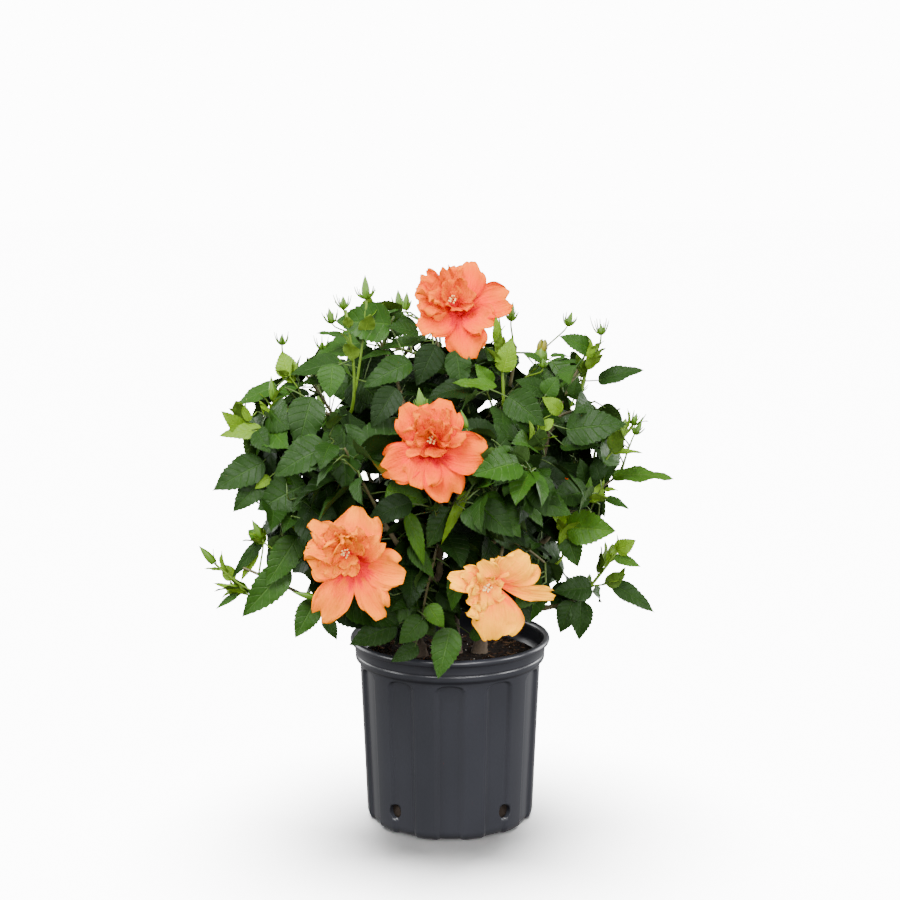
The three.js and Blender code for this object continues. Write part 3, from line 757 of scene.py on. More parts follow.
def boughRoute(stem, share, tip):
    root = routes[stem]["at"](share)
    tip = Vector(tip)
    out = Vector((tip.x - root.x, tip.y - root.y, 0))
    bend = root.lerp(tip, 0.5) + out * barkLook["bend"] - upright * ((tip - root).length * barkLook["sag"])
    return routeOf(root, bend, tip)


def addLimb(pile, name, kind, index, route, low, high):
    limb = limbs[kind]
    routes[name] = route

    def radiusAt(share):
        return blendOf(low, high, share) + limb["flare"] * math.exp(-share * barkLook["flareFade"])

    def at(share):
        return route["at"](share) - upright * limb["sunk"] * (1 - share) ** 8

    relief = barkRelief(limb["seed"] + index * limb["seedStep"], route["length"])
    sunk = {"at": at, "along": route["along"]}
    addTube(pile, sunk, radiusAt, limb["steps"], limb["sides"], limb["slot"], relief)


def buildWood():
    pile = newBin()
    for index, (name, (foot, top, radii)) in enumerate(stems.items()):
        addLimb(pile, name, "stem", index, stemRoute(foot, top), *radii)
    for index, (name, (stem, share, tip, radii)) in enumerate(boughs.items()):
        addLimb(pile, name, "bough", index, boughRoute(stem, share, tip), *radii)
    materials = [barkMaterial(name, *colours) for name, colours in barkColours.items()]
    pieceFrom("woody_stems", pile, materials, [*stems, *boughs])


barkColours = {
    "oldBark": (linear(66, 55, 45), linear(128, 112, 94)),
    "youngBark": (linear(74, 68, 44), linear(122, 112, 84)),
}
barkFinish = {
    "roughness": 0.82, "shine": 0.35, "streaks": (60, 5, (1, 1, 0.22)), "streakShare": (1.2, -0.32),
    "flecks": (420, 3), "fleckShare": 0.45, "grain": (180, 5, (1, 1, 0.3)), "bump": (0.6, 0.0012),
}


def barkMaterial(name, dark, pale):
    look = barkFinish
    material, tree, shader = newMaterial(name, look["roughness"], {"Specular IOR Level": look["shine"]})
    streaks = mathNode(tree, "MULTIPLY_ADD", noiseOf(tree, *look["streaks"]), *look["streakShare"])
    share = mathNode(tree, "MULTIPLY_ADD", noiseOf(tree, *look["flecks"]), look["fleckShare"], streaks)
    tree.links.new(colourMix(tree, share, dark, pale), shader.inputs["Base Color"])
    bumpFrom(tree, shader, noiseOf(tree, *look["grain"]), *look["bump"])
    return material


buildWood()

# Leaves: ovate toothed blades, made all at once from one template

leafShape = {
    "length": 82, "widthShare": 0.66, "thickness": 0.35, "petiole": 24, "petioleRadius": 1.0,
    # its outline: how full it is, how round at the foot, how drawn out at the tip
    "fullness": 2.65, "footRound": 0.5, "tipTaper": 1.05,
    # the template's columns, and its rows as shares of the length
    "columns": (-1, -0.62, -0.26, 0, 0.26, 0.62, 1), "plainRows": (0.02, 0.055, 0.1, 0.15), "lastRow": 0.96,
    "toothFrom": 0.2, "toothTo": 0.95, "teeth": 8, "toothPeak": 0.62, "toothDepth": 0.075, "toothLean": 0.018,
    "veinPairs": 7.2, "veinLean": 1.3, "quilt": 0.011, "ribWidth": 0.12, "ribGroove": 0.006, "ribRise": 0.012,
    "waves": 2.3, "waveSkew": 1.5, "twist": 0.6,
}
leafVariety = {
    # least and spread of what differs from leaf to leaf; bend and fold in degrees
    "wide": (0.88, 0.26), "bend": (12, 44), "fold": (7, 22), "curl": (0.02, 0.2), "wave": (0.008, 0.022),
    "phase": (0, 1),
}


def leafRows():
    # share of the length, width factor and lean of the margin, row by row
    start, end, teeth, depth = (leafShape[key] for key in ("toothFrom", "toothTo", "teeth", "toothDepth"))
    rows = [(share, 1, 0) for share in leafShape["plainRows"]]
    for i in range(teeth):
        place = start + (end - start) * i / teeth
        step = (end - start) / teeth
        fade = min(1, 0.35 + 0.2 * i)
        rows.append((place, 1 - depth * fade, 0))
        rows.append((place + step * leafShape["toothPeak"], 1 + 0.6 * depth * fade, leafShape["toothLean"]))
    rows.append((leafShape["lastRow"], 0.9, 0))
    return np.array(rows)


def makeLeafTemplate():
    rows, columns = leafRows(), leafShape["columns"]
    count = len(columns)
    ends = ((0, 1), (1, 1), (0, 0))
    share, factor, lean = (np.concatenate([[foot], np.repeat(rows[:, k], count), [tip]])
                           for k, (foot, tip) in enumerate(ends))
    across = np.concatenate([[0], np.tile(columns, len(rows)), [0]])
    margin = np.abs(across) > 0.99
    share = share + np.where(margin, lean, 0)
    width = leafShape["fullness"] * share ** leafShape["footRound"] \
        * np.clip(1 - share, 0, 1) ** leafShape["tipTaper"] * np.where(margin, factor, 1)
    tip = len(share) - 1
    lastRow = tip - count
    fans = [(0, k + 2, k + 1) for k in range(count - 1)]
    fans += [(lastRow + k, lastRow + k + 1, tip) for k in range(count - 1)]
    return {"share": share, "across": across, "width": width,
            "faces": np.concatenate([gridFaces(len(rows), count) + 1, fans])}


leafTemplate = makeLeafTemplate()


def leafPoints(rows):
    # the top sheets and the undersides of many leaves at once
    def each(key):
        return np.array([row[key] for row in rows], float)[:, None]

    share, across, width = (leafTemplate[key][None, :] for key in ("share", "across", "width"))
    fold, curl, wave, phase, twist = (each(key) for key in ("fold", "curl", "wave", "phase", "twist"))
    blade, above, right, start = (each(key) for key in ("blade", "above", "right", "start"))
    length = leafShape["length"] * each("size")
    half = length * leafShape["widthShare"] / 2 * each("wide")
    # the blade bends along an arc of its own length
    bend = np.maximum(each("bend"), 0.05)
    chord = np.sin(bend / 2) / (bend / 2)
    turned = bend * (share - 0.5)
    onward = length * (np.sin(turned) + np.sin(bend / 2)) / bend / chord
    rise = length * (np.cos(turned) - np.cos(bend / 2)) / bend / chord
    side = half * width * across
    reach = np.abs(across)
    lift = np.abs(side) * np.sin(fold) - half * width * curl * reach ** 2
    ripple = np.sin(turnFull * (leafShape["waves"] * share + phase) + leafShape["waveSkew"] * np.sign(across))
    lift = lift + length * wave * ripple * reach ** 1.5
    veins = np.cos(turnFull * (leafShape["veinPairs"] * share - leafShape["veinLean"] * reach - 0.2))
    quilted = (0.5 + 0.5 * veins) * (1 - (2 * reach - 0.9) ** 2) * (share < 0.93)
    lift = lift - length * leafShape["quilt"] * quilted
    groove = np.exp(-(reach / leafShape["ribWidth"]) ** 2) * np.clip(1 - share, 0, 1)
    side = side * np.cos(fold)
    angle = twist * (share - 0.3)
    side, lift = side * np.cos(angle) - lift * np.sin(angle), side * np.sin(angle) + lift * np.cos(angle)
    ridge = rise + lift
    middle = start + blade * onward[..., None] + right * side[..., None]
    top = middle + above * (ridge - length * leafShape["ribGroove"] * groove)[..., None]
    under = ridge - leafShape["thickness"] * (reach < 0.99) - length * leafShape["ribRise"] * groove
    return top, middle + above * under[..., None]


def addLeaves(pile, rows):
    # blades take the first material, undersides the second, stalks the third
    top, under = leafPoints(rows)
    count, each = top.shape[:2]
    faces = leafTemplate["faces"][None] + (np.arange(count) * each)[:, None, None]
    across, share = leafTemplate["across"], leafTemplate["share"]
    uvs = np.stack([0.5 + bladeSpan * across, bladeFrom + bladeRise * share], -1)
    addTo(pile, top, faces, 0, np.tile(uvs, (count, 1)))
    addTo(pile, under, faces[..., ::-1], 1, np.tile(uvs, (count, 1)))
    for row in rows:
        addStalk(pile, row)


def addStalk(pile, row):
    # the leaf's own stalk, curving from the twig into the blade
    root, start = Vector(row["root"]), Vector(row["start"])
    blade = Vector(row["blade"])
    span = (start - root).length
    if span < 2:
        return
    line = routeOf(root, root + Vector(row["stalk"]) * span * 0.55, start + blade * 5)
    thick = leafShape["petioleRadius"] * (0.7 + 0.3 * row["size"])
    addTube(pile, line, lambda share: thick * (1.25 - 0.5 * share), 4, 5, 2)


def leafRow(root, stalk, blade, face, size, draw, tone, petiole=leafShape["petiole"]):
    right = blade.cross(face).normalized()
    row = {"root": root, "stalk": stalk, "start": root + stalk * (petiole * size), "blade": blade,
           "above": right.cross(blade).normalized(), "right": right, "size": size, "tone": tone}
    row.update({key: vary(draw, *limits) for key, limits in leafVariety.items()})
    row.update(bend=math.radians(row["bend"]), fold=math.radians(row["fold"]))
    row["twist"] = swing(draw, leafShape["twist"])
    return row


# How the crown grows: the same shoots and twigs as the frame's masses, carried on to finer
# twigs inside the same reach

crown = {
    "centre": Vector((0, 0, 455)), "radii": Vector((276, 262, 246)),
    "leastReach": 0.84, "twigReach": 0.94,      # how near the skin leaves and twigs may come
    "potClear": 246, "potReach": 134, "lowest": 226,
    "spacing": 19, "mostLeaves": 36, "reach": 112, "overReach": 1.05,   # of a mass's leaves from its middle
    "middleAt": 0.75,
}
growth = {
    "shootRadius": 2.3, "twigRadius": 1.7, "finerRadius": 0.7, "bloomShoot": 2.8, "thinner": 0.42,
    "shootStep": 0.05, "shootAlong": 0.4,
    # twigs on a shoot: from where, over how much of it, turn, length, shorter tries, rise and bend
    "twigFrom": 0.32, "twigOver": 0.62, "twigTurn": 1.5, "twigTaper": (1.1, 0.4), "twigLength": (0.85, 0.3),
    "twigTries": (1, 0.7, 0.45), "twigRise": 0.1, "twigBend": 0.06,
    "finerTwigs": 2, "finerFrom": 0.35, "finerOver": 0.45, "finerSpan": 0.62, "finerLength": (0.7, 0.5),
    # places for leaves on a shoot, a twig and a finer twig, and how large the leaves there are
    "shootShares": (0.36, 0.5, 0.58, 0.66, 0.74, 0.82, 0.9, 0.97), "shootEase": 1.0,
    "twigShares": (0.32, 0.5, 0.64, 0.75, 0.87, 0.97), "twigEase": 0.95,
    "finerShares": (0.45, 0.72, 0.98), "finerEase": 0.8,
    # how much a twig or finer twig heads along its bearer, round it, outwards and up
    "twigLean": (0.5, 1, 0.3, 0.2), "finerLean": (0.7, 0.8, 0.35, 0.25),
    # a stalk: round its bearer, along it, outwards, up; a blade: along its stalk, round, outwards, up
    "stalkLean": (0.9, 0.4, 0.2, 0.15), "bladeLean": (0.7, 0.3, 0.2, -0.65),
    "faceLean": (0.6, 0.5, 0.3),      # a blade's face: up, outwards, round
    "leafSize": (0.54, 0.5), "leafTurn": 0.6, "leafRoll": 2.6,
    "places": (0.15, 1, 8),           # along a twig, where a leaf or bud of the photo may be joined
    # leaves on boughs and stems: from, to, how many; their size, roll and share of dark ones, that dark tone
    # partly painted shade
    "innerOn": {"bough": (0.3, 0.98, 14), "stem": (0.55, 0.98, 9)},
    "innerSize": (0.62, 0.42), "innerRoll": 2.0, "innerDark": 0.6,
}
leafTries = ((0, 1), (1, 0.94), (-1, 0.94), (2.1, 0.86), (-2.1, 0.8), (3.1, 0.74))

blooms = {
    # grows from, middle, faces, width
    "bloom_top": ("bough_top", (13, -58, 662), (0.05, -0.9, 0.42), 118),
    "bloom_middle": ("bough_front", (-22, -200, 512), (-0.05, -0.97, 0.22), 114),
    "bloom_low_left": ("bough_front_left", (-112, -190, 374), (-0.1, -0.98, 0.1), 122),
    "bloom_low_right": ("bough_front_right", (60, -190, 343), (0.3, -0.93, -0.12), 112),
    "bloom_back_left": ("bough_back_left", (-96, 222, 520), (-0.3, 0.92, 0.25), 114),
    "bloom_back_right": ("bough_back_right", (122, 206, 398), (0.4, 0.9, 0.1), 114),
}
masses = {
    # grows from, tip of its shoot, span of its twigs, how many twigs
    "leaves_low_left": ("bough_low_left", (-300, -60, 358), 50, 4),
    "leaves_rim_left": ("bough_low_left", (-150, -118, 312), 52, 4),
    "leaves_left": ("bough_left", (-216, -84, 388), 72, 5),
    "leaves_left_middle": ("bough_left", (-232, -48, 462), 64, 5),
    "leaves_left_upper": ("bough_left_upper", (-240, -36, 520), 62, 5),
    "leaves_left_top": ("bough_left_upper", (-200, -20, 604), 62, 5),
    "leaves_front_left": ("bough_front_left", (-124, -152, 506), 66, 4),
    "leaves_front_low": ("bough_front_left", (-178, -104, 352), 60, 4),
    "leaves_front": ("bough_front", (10, -166, 452), 56, 4),
    "leaves_rim_front": ("bough_front", (-34, -118, 292), 48, 4),
    "leaves_front_right": ("bough_front_right", (80, -150, 486), 64, 4),
    "leaves_rim_right": ("bough_front_right", (122, -112, 350), 56, 4),
    "leaves_low_right": ("bough_low_right", (206, -56, 318), 54, 4),
    "leaves_right": ("bough_right", (196, -62, 392), 64, 5),
    "leaves_right_middle": ("bough_right", (222, -30, 458), 62, 5),
    "leaves_right_upper": ("bough_right_upper", (226, -32, 524), 64, 5),
    "leaves_right_top": ("bough_right_upper", (184, 0, 628), 60, 5),
    "leaves_back_left_low": ("bough_back_left", (-158, 108, 330), 64, 4),
    "leaves_back_left_side": ("bough_back_left", (-200, 92, 448), 66, 5),
    "leaves_back_left": ("bough_back_left", (-96, 190, 442), 66, 5),
    "leaves_back": ("bough_back", (8, 212, 492), 66, 5),
    "leaves_back_low": ("bough_back", (4, 168, 318), 64, 4),
    "leaves_back_right": ("bough_back_right", (96, 186, 456), 66, 5),
    "leaves_back_right_side": ("bough_back_right", (200, 92, 452), 66, 5),
    "leaves_back_right_low": ("bough_back_right", (158, 104, 330), 64, 4),
    "leaves_top_left": ("bough_top_left", (-108, -42, 658), 60, 5),
    "leaves_top": ("bough_top", (-30, 4, 652), 58, 5),
    "leaves_top_right": ("bough_top_right", (84, -8, 640), 60, 5),
    "leaves_top_back_left": ("bough_top_back", (-96, 118, 594), 66, 5),
    "leaves_top_back_right": ("bough_top_back", (100, 112, 600), 66, 5),
    "leaves_middle": ("stem_centre", (64, -60, 540), 84, 6),
}

# Places read off the photo, in pixels of its 900, each with a depth in millimetres

crownEdge = [
    # across and down, once round
    (262, 604), (266, 560), (258, 530), (246, 508), (230, 492), (226, 470), (248, 455), (238, 436),
    (236, 416), (256, 396), (284, 386), (294, 364), (318, 356), (336, 346), (340, 326), (352, 304),
    (386, 304), (396, 324), (416, 330), (426, 345), (480, 350), (488, 334), (506, 338), (518, 350),
    (532, 358), (560, 354), (588, 350), (592, 376), (584, 396), (602, 408), (624, 414), (626, 440),
    (614, 472), (606, 500), (606, 530), (600, 556), (594, 576), (602, 592), (594, 626), (574, 626),
    (560, 602), (548, 600), (544, 616), (520, 636), (480, 640), (468, 655), (444, 664), (400, 660),
    (352, 648), (344, 630), (300, 628), (288, 606),
]
skyGaps = [
    # across, down, radius
    (366, 346, 14), (394, 355, 9), (366, 369, 6), (470, 359, 8), (482, 406, 11), (427, 383, 6),
    (494, 390, 5), (532, 370, 12), (560, 370, 10), (583, 386, 8), (562, 407, 6), (571, 462, 13),
    (578, 489, 5), (577, 558, 13), (562, 603, 6), (321, 429, 6), (270, 461, 6), (296, 472, 6),
    (264, 517, 5), (303, 582, 10), (291, 600, 9), (359, 600, 5), (408, 600, 9), (421, 580, 4),
    (448, 556, 5), (468, 534, 5), (305, 386, 7), (283, 402, 5), (545, 532, 4), (602, 545, 6),
    (556, 553, 7), (553, 589, 5), (540, 612, 8), (331, 406, 4), (305, 396, 5), (408, 362, 4),
    (594, 558, 9), (568, 572, 8), (586, 574, 7),
]
photoShoots = [
    # places from the foot to the tip, depth, radius
    (((358, 425), (358, 380), (351, 340), (346, 310)), -70, 2.4),
    (((358, 385), (361, 345), (367, 318), (367, 300)), -66, 1.8),
    (((503, 412), (505, 385), (502, 366), (497, 340)), -60, 2.4),
    (((572, 414), (579, 395), (588, 370), (592, 345)), -40, 2.8),
    (((588, 480), (602, 464), (618, 444), (633, 424)), -60, 1.7),
    (((562, 524), (578, 508), (592, 497), (604, 490)), -90, 2.0),
    (((566, 560), (568, 540), (566, 524)), -96, 1.8),
    (((512, 474), (528, 452), (541, 432)), -140, 1.8),
    (((276, 455), (274, 430), (273, 402)), -50, 1.8),
    (((252, 440), (246, 425), (240, 415)), -50, 1.5),
    (((306, 398), (296, 384), (289, 376)), -40, 1.5),
    (((577, 600), (592, 586), (603, 570), (617, 552)), -66, 2.4),
    (((592, 586), (602, 585), (612, 583)), -66, 1.4),
    (((262, 602), (246, 590), (230, 578), (215, 563)), -66, 1.5),
    (((262, 602), (246, 594), (238, 592)), -66, 1.2),
    (((276, 550), (266, 547), (262, 538)), -80, 1.2),
]
photoLeaves = [
    # foot across and down, tip across and down, depth, how far the tip leans out, width, lying, and tone: the
    # leaf's own green together with painted light and shade as it shows, dark on the leaves set deep behind
    (391, 324, 335, 321, -60, -8, 1.15, 0.1, "middle"),
    (346, 337, 316, 333, -40, 0, 0.8, 0.8, "middle"),
    (289, 377, 282, 351, -40, 14, 1.25, 0.15, "fresh"),
    (342, 362, 288, 376, -50, -10, 0.95, 0.6, "deep"),
    (333, 364, 330, 399, -80, -14, 1.25, 0.15, "middle"),
    (325, 380, 298, 385, -50, 0, 0.7, 0.5, "middle"),
    (277, 386, 232, 409, -40, -4, 0.75, 0.55, "middle"),
    (270, 418, 259, 400, -60, 0, 0.6, 0.2, "fresh"),
    (250, 421, 241, 403, -60, 0, 0.7, 0.2, "fresh"),
    (244, 432, 221, 411, -56, -10, 0.8, 0.2, "fresh"),
    (262, 430, 219, 436, -60, -6, 0.7, 0.4, "fresh"),
    (289, 411, 270, 411, -60, 0, 0.6, 0.5, "fresh"),
    (312, 397, 298, 451, -90, -20, 1.1, 0.15, "deep"),
    (344, 424, 346, 493, -130, -26, 1.1, 0.12, "deep"),
    (419, 334, 386, 326, -60, -8, 0.8, 0.5, "deep"),
    (421, 340, 379, 350, -50, -4, 0.7, 0.55, "middle"),
    (391, 354, 357, 362, -60, 0, 0.6, 0.7, "middle"),
    (411, 362, 363, 388, -80, -14, 0.85, 0.3, "deep"),
    (396, 388, 371, 428, -110, -16, 0.95, 0.15, "dark"),
    (436, 345, 416, 386, -70, -10, 1.0, 0.15, "dark"),
    (456, 350, 462, 392, -70, -10, 1.0, 0.2, "deep"),
    (492, 384, 475, 364, -80, 0, 1.0, 0.1, "clear"),
    (497, 386, 448, 383, -90, -8, 0.5, 0.5, "clear"),
    (498, 346, 496, 315, -60, 0, 0.5, 0.1, "fresh"),
    (503, 372, 512, 337, -66, 4, 0.95, 0.1, "fresh"),
    (508, 374, 484, 346, -50, 4, 0.8, 0.2, "middle"),
    (540, 360, 521, 352, -40, 0, 0.6, 0.4, "middle"),
    (550, 356, 570, 357, -40, 0, 0.6, 0.6, "middle"),
    (593, 350, 559, 336, -36, -8, 0.85, 0.25, "middle"),
    (591, 368, 591, 339, -44, 0, 0.6, 0.1, "fresh"),
    (585, 363, 553, 361, -40, 0, 0.5, 0.7, "middle"),
    (598, 381, 644, 370, -30, -6, 0.75, 0.5, "deep"),
    (545, 395, 559, 376, -70, 0, 1.4, 0.15, "middle"),
    (573, 396, 577, 378, -50, 0, 1.3, 0.2, "middle"),
    (562, 412, 542, 397, -80, -6, 1.0, 0.3, "fresh"),
    (546, 392, 515, 380, -60, -6, 0.9, 0.3, "deep"),
    (508, 396, 545, 426, -120, -20, 1.15, 0.15, "deep"),
    (566, 430, 627, 424, -90, -14, 0.95, 0.25, "deep"),
    (560, 446, 602, 446, -80, -10, 0.8, 0.5, "deep"),
    (612, 453, 643, 453, -60, 0, 0.4, 0.5, "fresh"),
    (590, 484, 618, 466, -66, -4, 0.9, 0.3, "deep"),
    (586, 484, 580, 458, -60, -4, 0.9, 0.3, "deep"),
    (612, 476, 674, 479, -40, -4, 0.6, 0.6, "clear"),
    (606, 498, 629, 509, -60, -6, 0.7, 0.5, "middle"),
    (604, 493, 588, 503, -90, -8, 0.7, 0.2, "fresh"),
    (567, 527, 616, 531, -104, -12, 1.2, 0.12, "clear"),
    (566, 531, 578, 567, -96, -10, 1.05, 0.15, "middle"),
    (566, 527, 545, 504, -96, 0, 0.5, 0.2, "fresh"),
    (566, 527, 559, 545, -100, -6, 0.7, 0.2, "fresh"),
    (616, 551, 636, 540, -66, -4, 1.2, 0.15, "fresh"),
    (614, 557, 641, 567, -66, -6, 0.7, 0.4, "clear"),
    (612, 583, 655, 613, -66, -6, 0.62, 0.35, "deep"),
    (592, 588, 553, 592, -70, -12, 1.1, 0.3, "deep"),
    (538, 560, 545, 598, -110, -12, 0.9, 0.15, "dark"),
    (572, 601, 560, 633, -80, -8, 1.1, 0.15, "deep"),
    (581, 601, 579, 640, -76, -8, 1.05, 0.12, "deep"),
    (264, 462, 212, 491, -60, -10, 0.9, 0.3, "deep"),
    (262, 480, 233, 512, -66, -10, 0.95, 0.25, "deep"),
    (270, 477, 255, 489, -70, -4, 1.0, 0.3, "fresh"),
    (306, 484, 257, 510, -90, -16, 1.2, 0.15, "deep"),
    (297, 537, 266, 586, -90, -14, 0.85, 0.15, "middle"),
    (288, 566, 242, 617, -90, -10, 0.75, 0.2, "middle"),
    (310, 534, 291, 527, -100, -6, 0.9, 0.3, "fresh"),
    (262, 540, 232, 578, -66, -4, 0.42, 0.2, "deep"),
    (258, 549, 241, 581, -66, -4, 0.45, 0.2, "fresh"),
    (245, 592, 213, 583, -66, 0, 0.35, 0.4, "fresh"),
    (238, 594, 216, 609, -66, -4, 0.5, 0.3, "middle"),
    (316, 600, 295, 638, -110, -10, 0.95, 0.15, "middle"),
    (325, 616, 337, 640, -110, -8, 0.9, 0.15, "deep"),
    (386, 490, 428, 502, -150, -10, 1.2, 0.2, "clear"),
    (408, 513, 424, 566, -150, -10, 0.5, 0.1, "clear"),
    (410, 545, 434, 578, -140, -8, 0.7, 0.2, "middle"),
    (467, 490, 441, 545, -160, -6, 0.28, 0.2, "fresh"),
    (450, 508, 427, 548, -150, -10, 1.0, 0.15, "deep"),
    (496, 494, 462, 512, -150, -12, 0.9, 0.25, "deep"),
    (459, 570, 452, 611, -130, -6, 0.75, 0.15, "middle"),
    (428, 605, 444, 628, -140, -6, 1.1, 0.1, "clear"),
    (424, 618, 399, 644, -130, -8, 1.1, 0.15, "middle"),
    (451, 628, 438, 679, -124, -16, 0.9, 0.08, "middle"),
    (396, 624, 349, 645, -124, -10, 0.9, 0.25, "deep"),
    (418, 646, 391, 662, -124, -10, 0.9, 0.3, "deep"),
    (472, 640, 486, 622, -100, 0, 0.9, 0.2, "middle"),
    (370, 368, 392, 406, 130, -10, 1.1, 0.15, "dark"),
    (400, 366, 380, 400, 140, -10, 1.1, 0.15, "deep"),
    (398, 380, 420, 412, 120, -10, 1.1, 0.15, "dark"),
    (352, 384, 372, 420, 130, -10, 1.1, 0.15, "dark"),
    (352, 350, 384, 384, 100, -10, 1.1, 0.15, "deep"),
    (394, 352, 362, 382, 90, -10, 1.1, 0.15, "dark"),
    (366, 358, 348, 386, 110, -10, 1.1, 0.15, "deep"),
    (552, 446, 572, 476, 120, -10, 1.0, 0.15, "dark"),
    (330, 362, 352, 394, 150, -8, 1.2, 0.15, "dark"),
    (338, 376, 348, 404, 140, -8, 1.3, 0.15, "deep"),
    (352, 372, 364, 398, 150, -8, 1.1, 0.15, "dark"),
    (384, 400, 402, 426, 150, -8, 1.2, 0.15, "dark"),
    (360, 382, 384, 406, 50, -8, 1.3, 0.15, "deep"),
    (560, 444, 586, 474, 150, -8, 1.2, 0.15, "deep"),
]
onBough = {}       # how many shoots each bough has
shootLines = {}    # each mass's and bloom's shoot
shootTwigs = {}    # each mass's shoot, as a place in twigs
leaves = []        # every leaf: root, stalk, blade and face directions, size and the numbers of its shape
taken = []         # middles of the leaf blades that have been placed
shownLeaves = []   # where the leaves read off the photo stand in it: across, down, depth, radius
shownRoom = 15     # how far behind such a leaf another one starts to be hidden by it
twigs = []         # every shoot and twig: its route, and how far along it something grows
twigPlaces = []    # points along them, each with its twig and its share of the length


def viewLines():
    # the camera's place, its focal length in pixels, where it looks and what is up for it
    down = math.radians(cameraLook["downDegrees"])
    focal = cameraLook["lens"] / cameraLook["sensor"] * cameraLook["picture"]
    forward, above = Vector((0, math.cos(down), -math.sin(down))), Vector((0, math.sin(down), math.cos(down)))
    return Vector(cameraLook["place"]) / mm, focal, forward, above


pictureMiddle = cameraLook["picture"] / 2


def fromPhoto(across, down, depth):
    eye, focal, forward, above = viewLines()
    ray = forward * focal + Vector((across - pictureMiddle, 0, 0)) + above * (pictureMiddle - down)
    return eye + ray * ((depth - eye.y) / ray.y)


def inPhoto(point):
    eye, focal, forward, above = viewLines()
    offset = point - eye
    scale = focal / offset.dot(forward)
    return pictureMiddle + offset.x * scale, pictureMiddle - offset.dot(above) * scale


def insideEdge(across, down):
    inside = False
    for (x1, y1), (x2, y2) in zip(crownEdge, crownEdge[1:] + crownEdge[:1]):
        if (y1 > down) != (y2 > down) and across < x1 + (x2 - x1) * (down - y1) / (y2 - y1):
            inside = not inside
    return inside


def clearInPhoto(points):
    # keeps the crown's edge, the sky between its boughs, and the leaves read off the photo in view
    for point in points:
        across, down = inPhoto(point)
        if not insideEdge(across, down):
            return False
        if any((across - x) ** 2 + (down - y) ** 2 < r * r for x, y, r in skyGaps):
            return False
        for x, y, depth, r in shownLeaves:
            if point.y < depth + shownRoom and (across - x) ** 2 + (down - y) ** 2 < r * r:
                return False
    return True


def shootRoute(bough, tip):
    # the first shoot goes on from the bough's tip, the others leave it lower down
    route = routes[bough]
    place = onBough.get(bough, 0)
    onBough[bough] = place + 1
    share = 1 if place == 0 else 1 - growth["shootStep"] * place
    along = route["along"](share)
    foot = route["at"](share)
    ahead = growth["shootAlong"]
    lead = along if place == 0 else mixOf((along, ahead), ((tip - foot).normalized(), 1))
    return routeOf(foot, foot + lead * ((tip - foot).length * ahead), tip)


def leanOf(weights, *directions):
    return mixOf(*zip(directions, weights))


def outwardFrom(point):
    return (point - crown["centre"]).normalized()


def aroundOf(along, angle):
    side = Vector((along.y, -along.x, 0.001)).normalized()
    other = along.cross(side).normalized()
    return side * math.cos(angle) + other * math.sin(angle)


def insideCrown(point, stretch):
    offset = point - crown["centre"]
    return sum((offset[k] / (crown["radii"][k] * stretch)) ** 2 for k in range(3)) <= 1


def bloomFoot(name):
    # where a bloom sits on its shoot, and which way it looks
    _, middle, faces, width = blooms[name]
    facing = Vector(faces).normalized()
    return Vector(middle) - facing * width * 0.2, facing


bloomRoom = {"across": 0.5, "behind": 0.14, "before": 150}


def inBloomRoom(point):
    # inside a bloom, or in the open space in front of it
    for _, middle, faces, width in blooms.values():
        offset = point - Vector(middle)
        facing = Vector(faces).normalized()
        depth = offset.dot(facing)
        sideways = (offset - facing * depth).length
        near = -width * bloomRoom["behind"] < depth < bloomRoom["before"]
        if near and sideways < width * bloomRoom["across"]:
            return True
    return False


def openPlace(point, limit):
    if point.z < crown["potClear"] and math.hypot(point.x, point.y) < crown["potReach"]:
        return False
    if point.z < crown["lowest"] or not insideCrown(point, limit):
        return False
    return not inBloomRoom(point)


def newTwig(route, radius, parent=None, share=0, slot=1, steps=6, sides=6):
    index = len(twigs)
    twigs.append({"route": route, "radius": radius, "parent": parent, "share": share, "reach": 0,
                  "slot": slot, "steps": steps, "sides": sides})
    twigPlaces.extend((route["at"](place), index, place) for place in np.linspace(*growth["places"]))
    return index


def drawTwigs(pile):
    # each twig ends just past the last thing it carries
    for twig in reversed(twigs):
        if twig["reach"] and twig["parent"] is not None:
            useTwig(twig["parent"], twig["share"])
    for twig in twigs:
        route, end, radius = twig["route"], min(1, twig["reach"] + 0.02), twig["radius"]
        if twig["reach"]:
            part = {key: lambda share, way=route[key]: way(share * end) for key in ("at", "along")}
            addTube(pile, part, lambda share: radius * (1 - growth["thinner"] * share * end),
                    twig["steps"], twig["sides"], twig["slot"])


def useTwig(index, share):
    twigs[index]["reach"] = max(twigs[index]["reach"], share)


def spotsOn(index, kind, edge):
    route = twigs[index]["route"]
    return [{"root": route["at"](s), "along": route["along"](s), "ease": growth[kind + "Ease"], "edge": edge,
             "twig": index, "share": s} for s in growth[kind + "Shares"]]


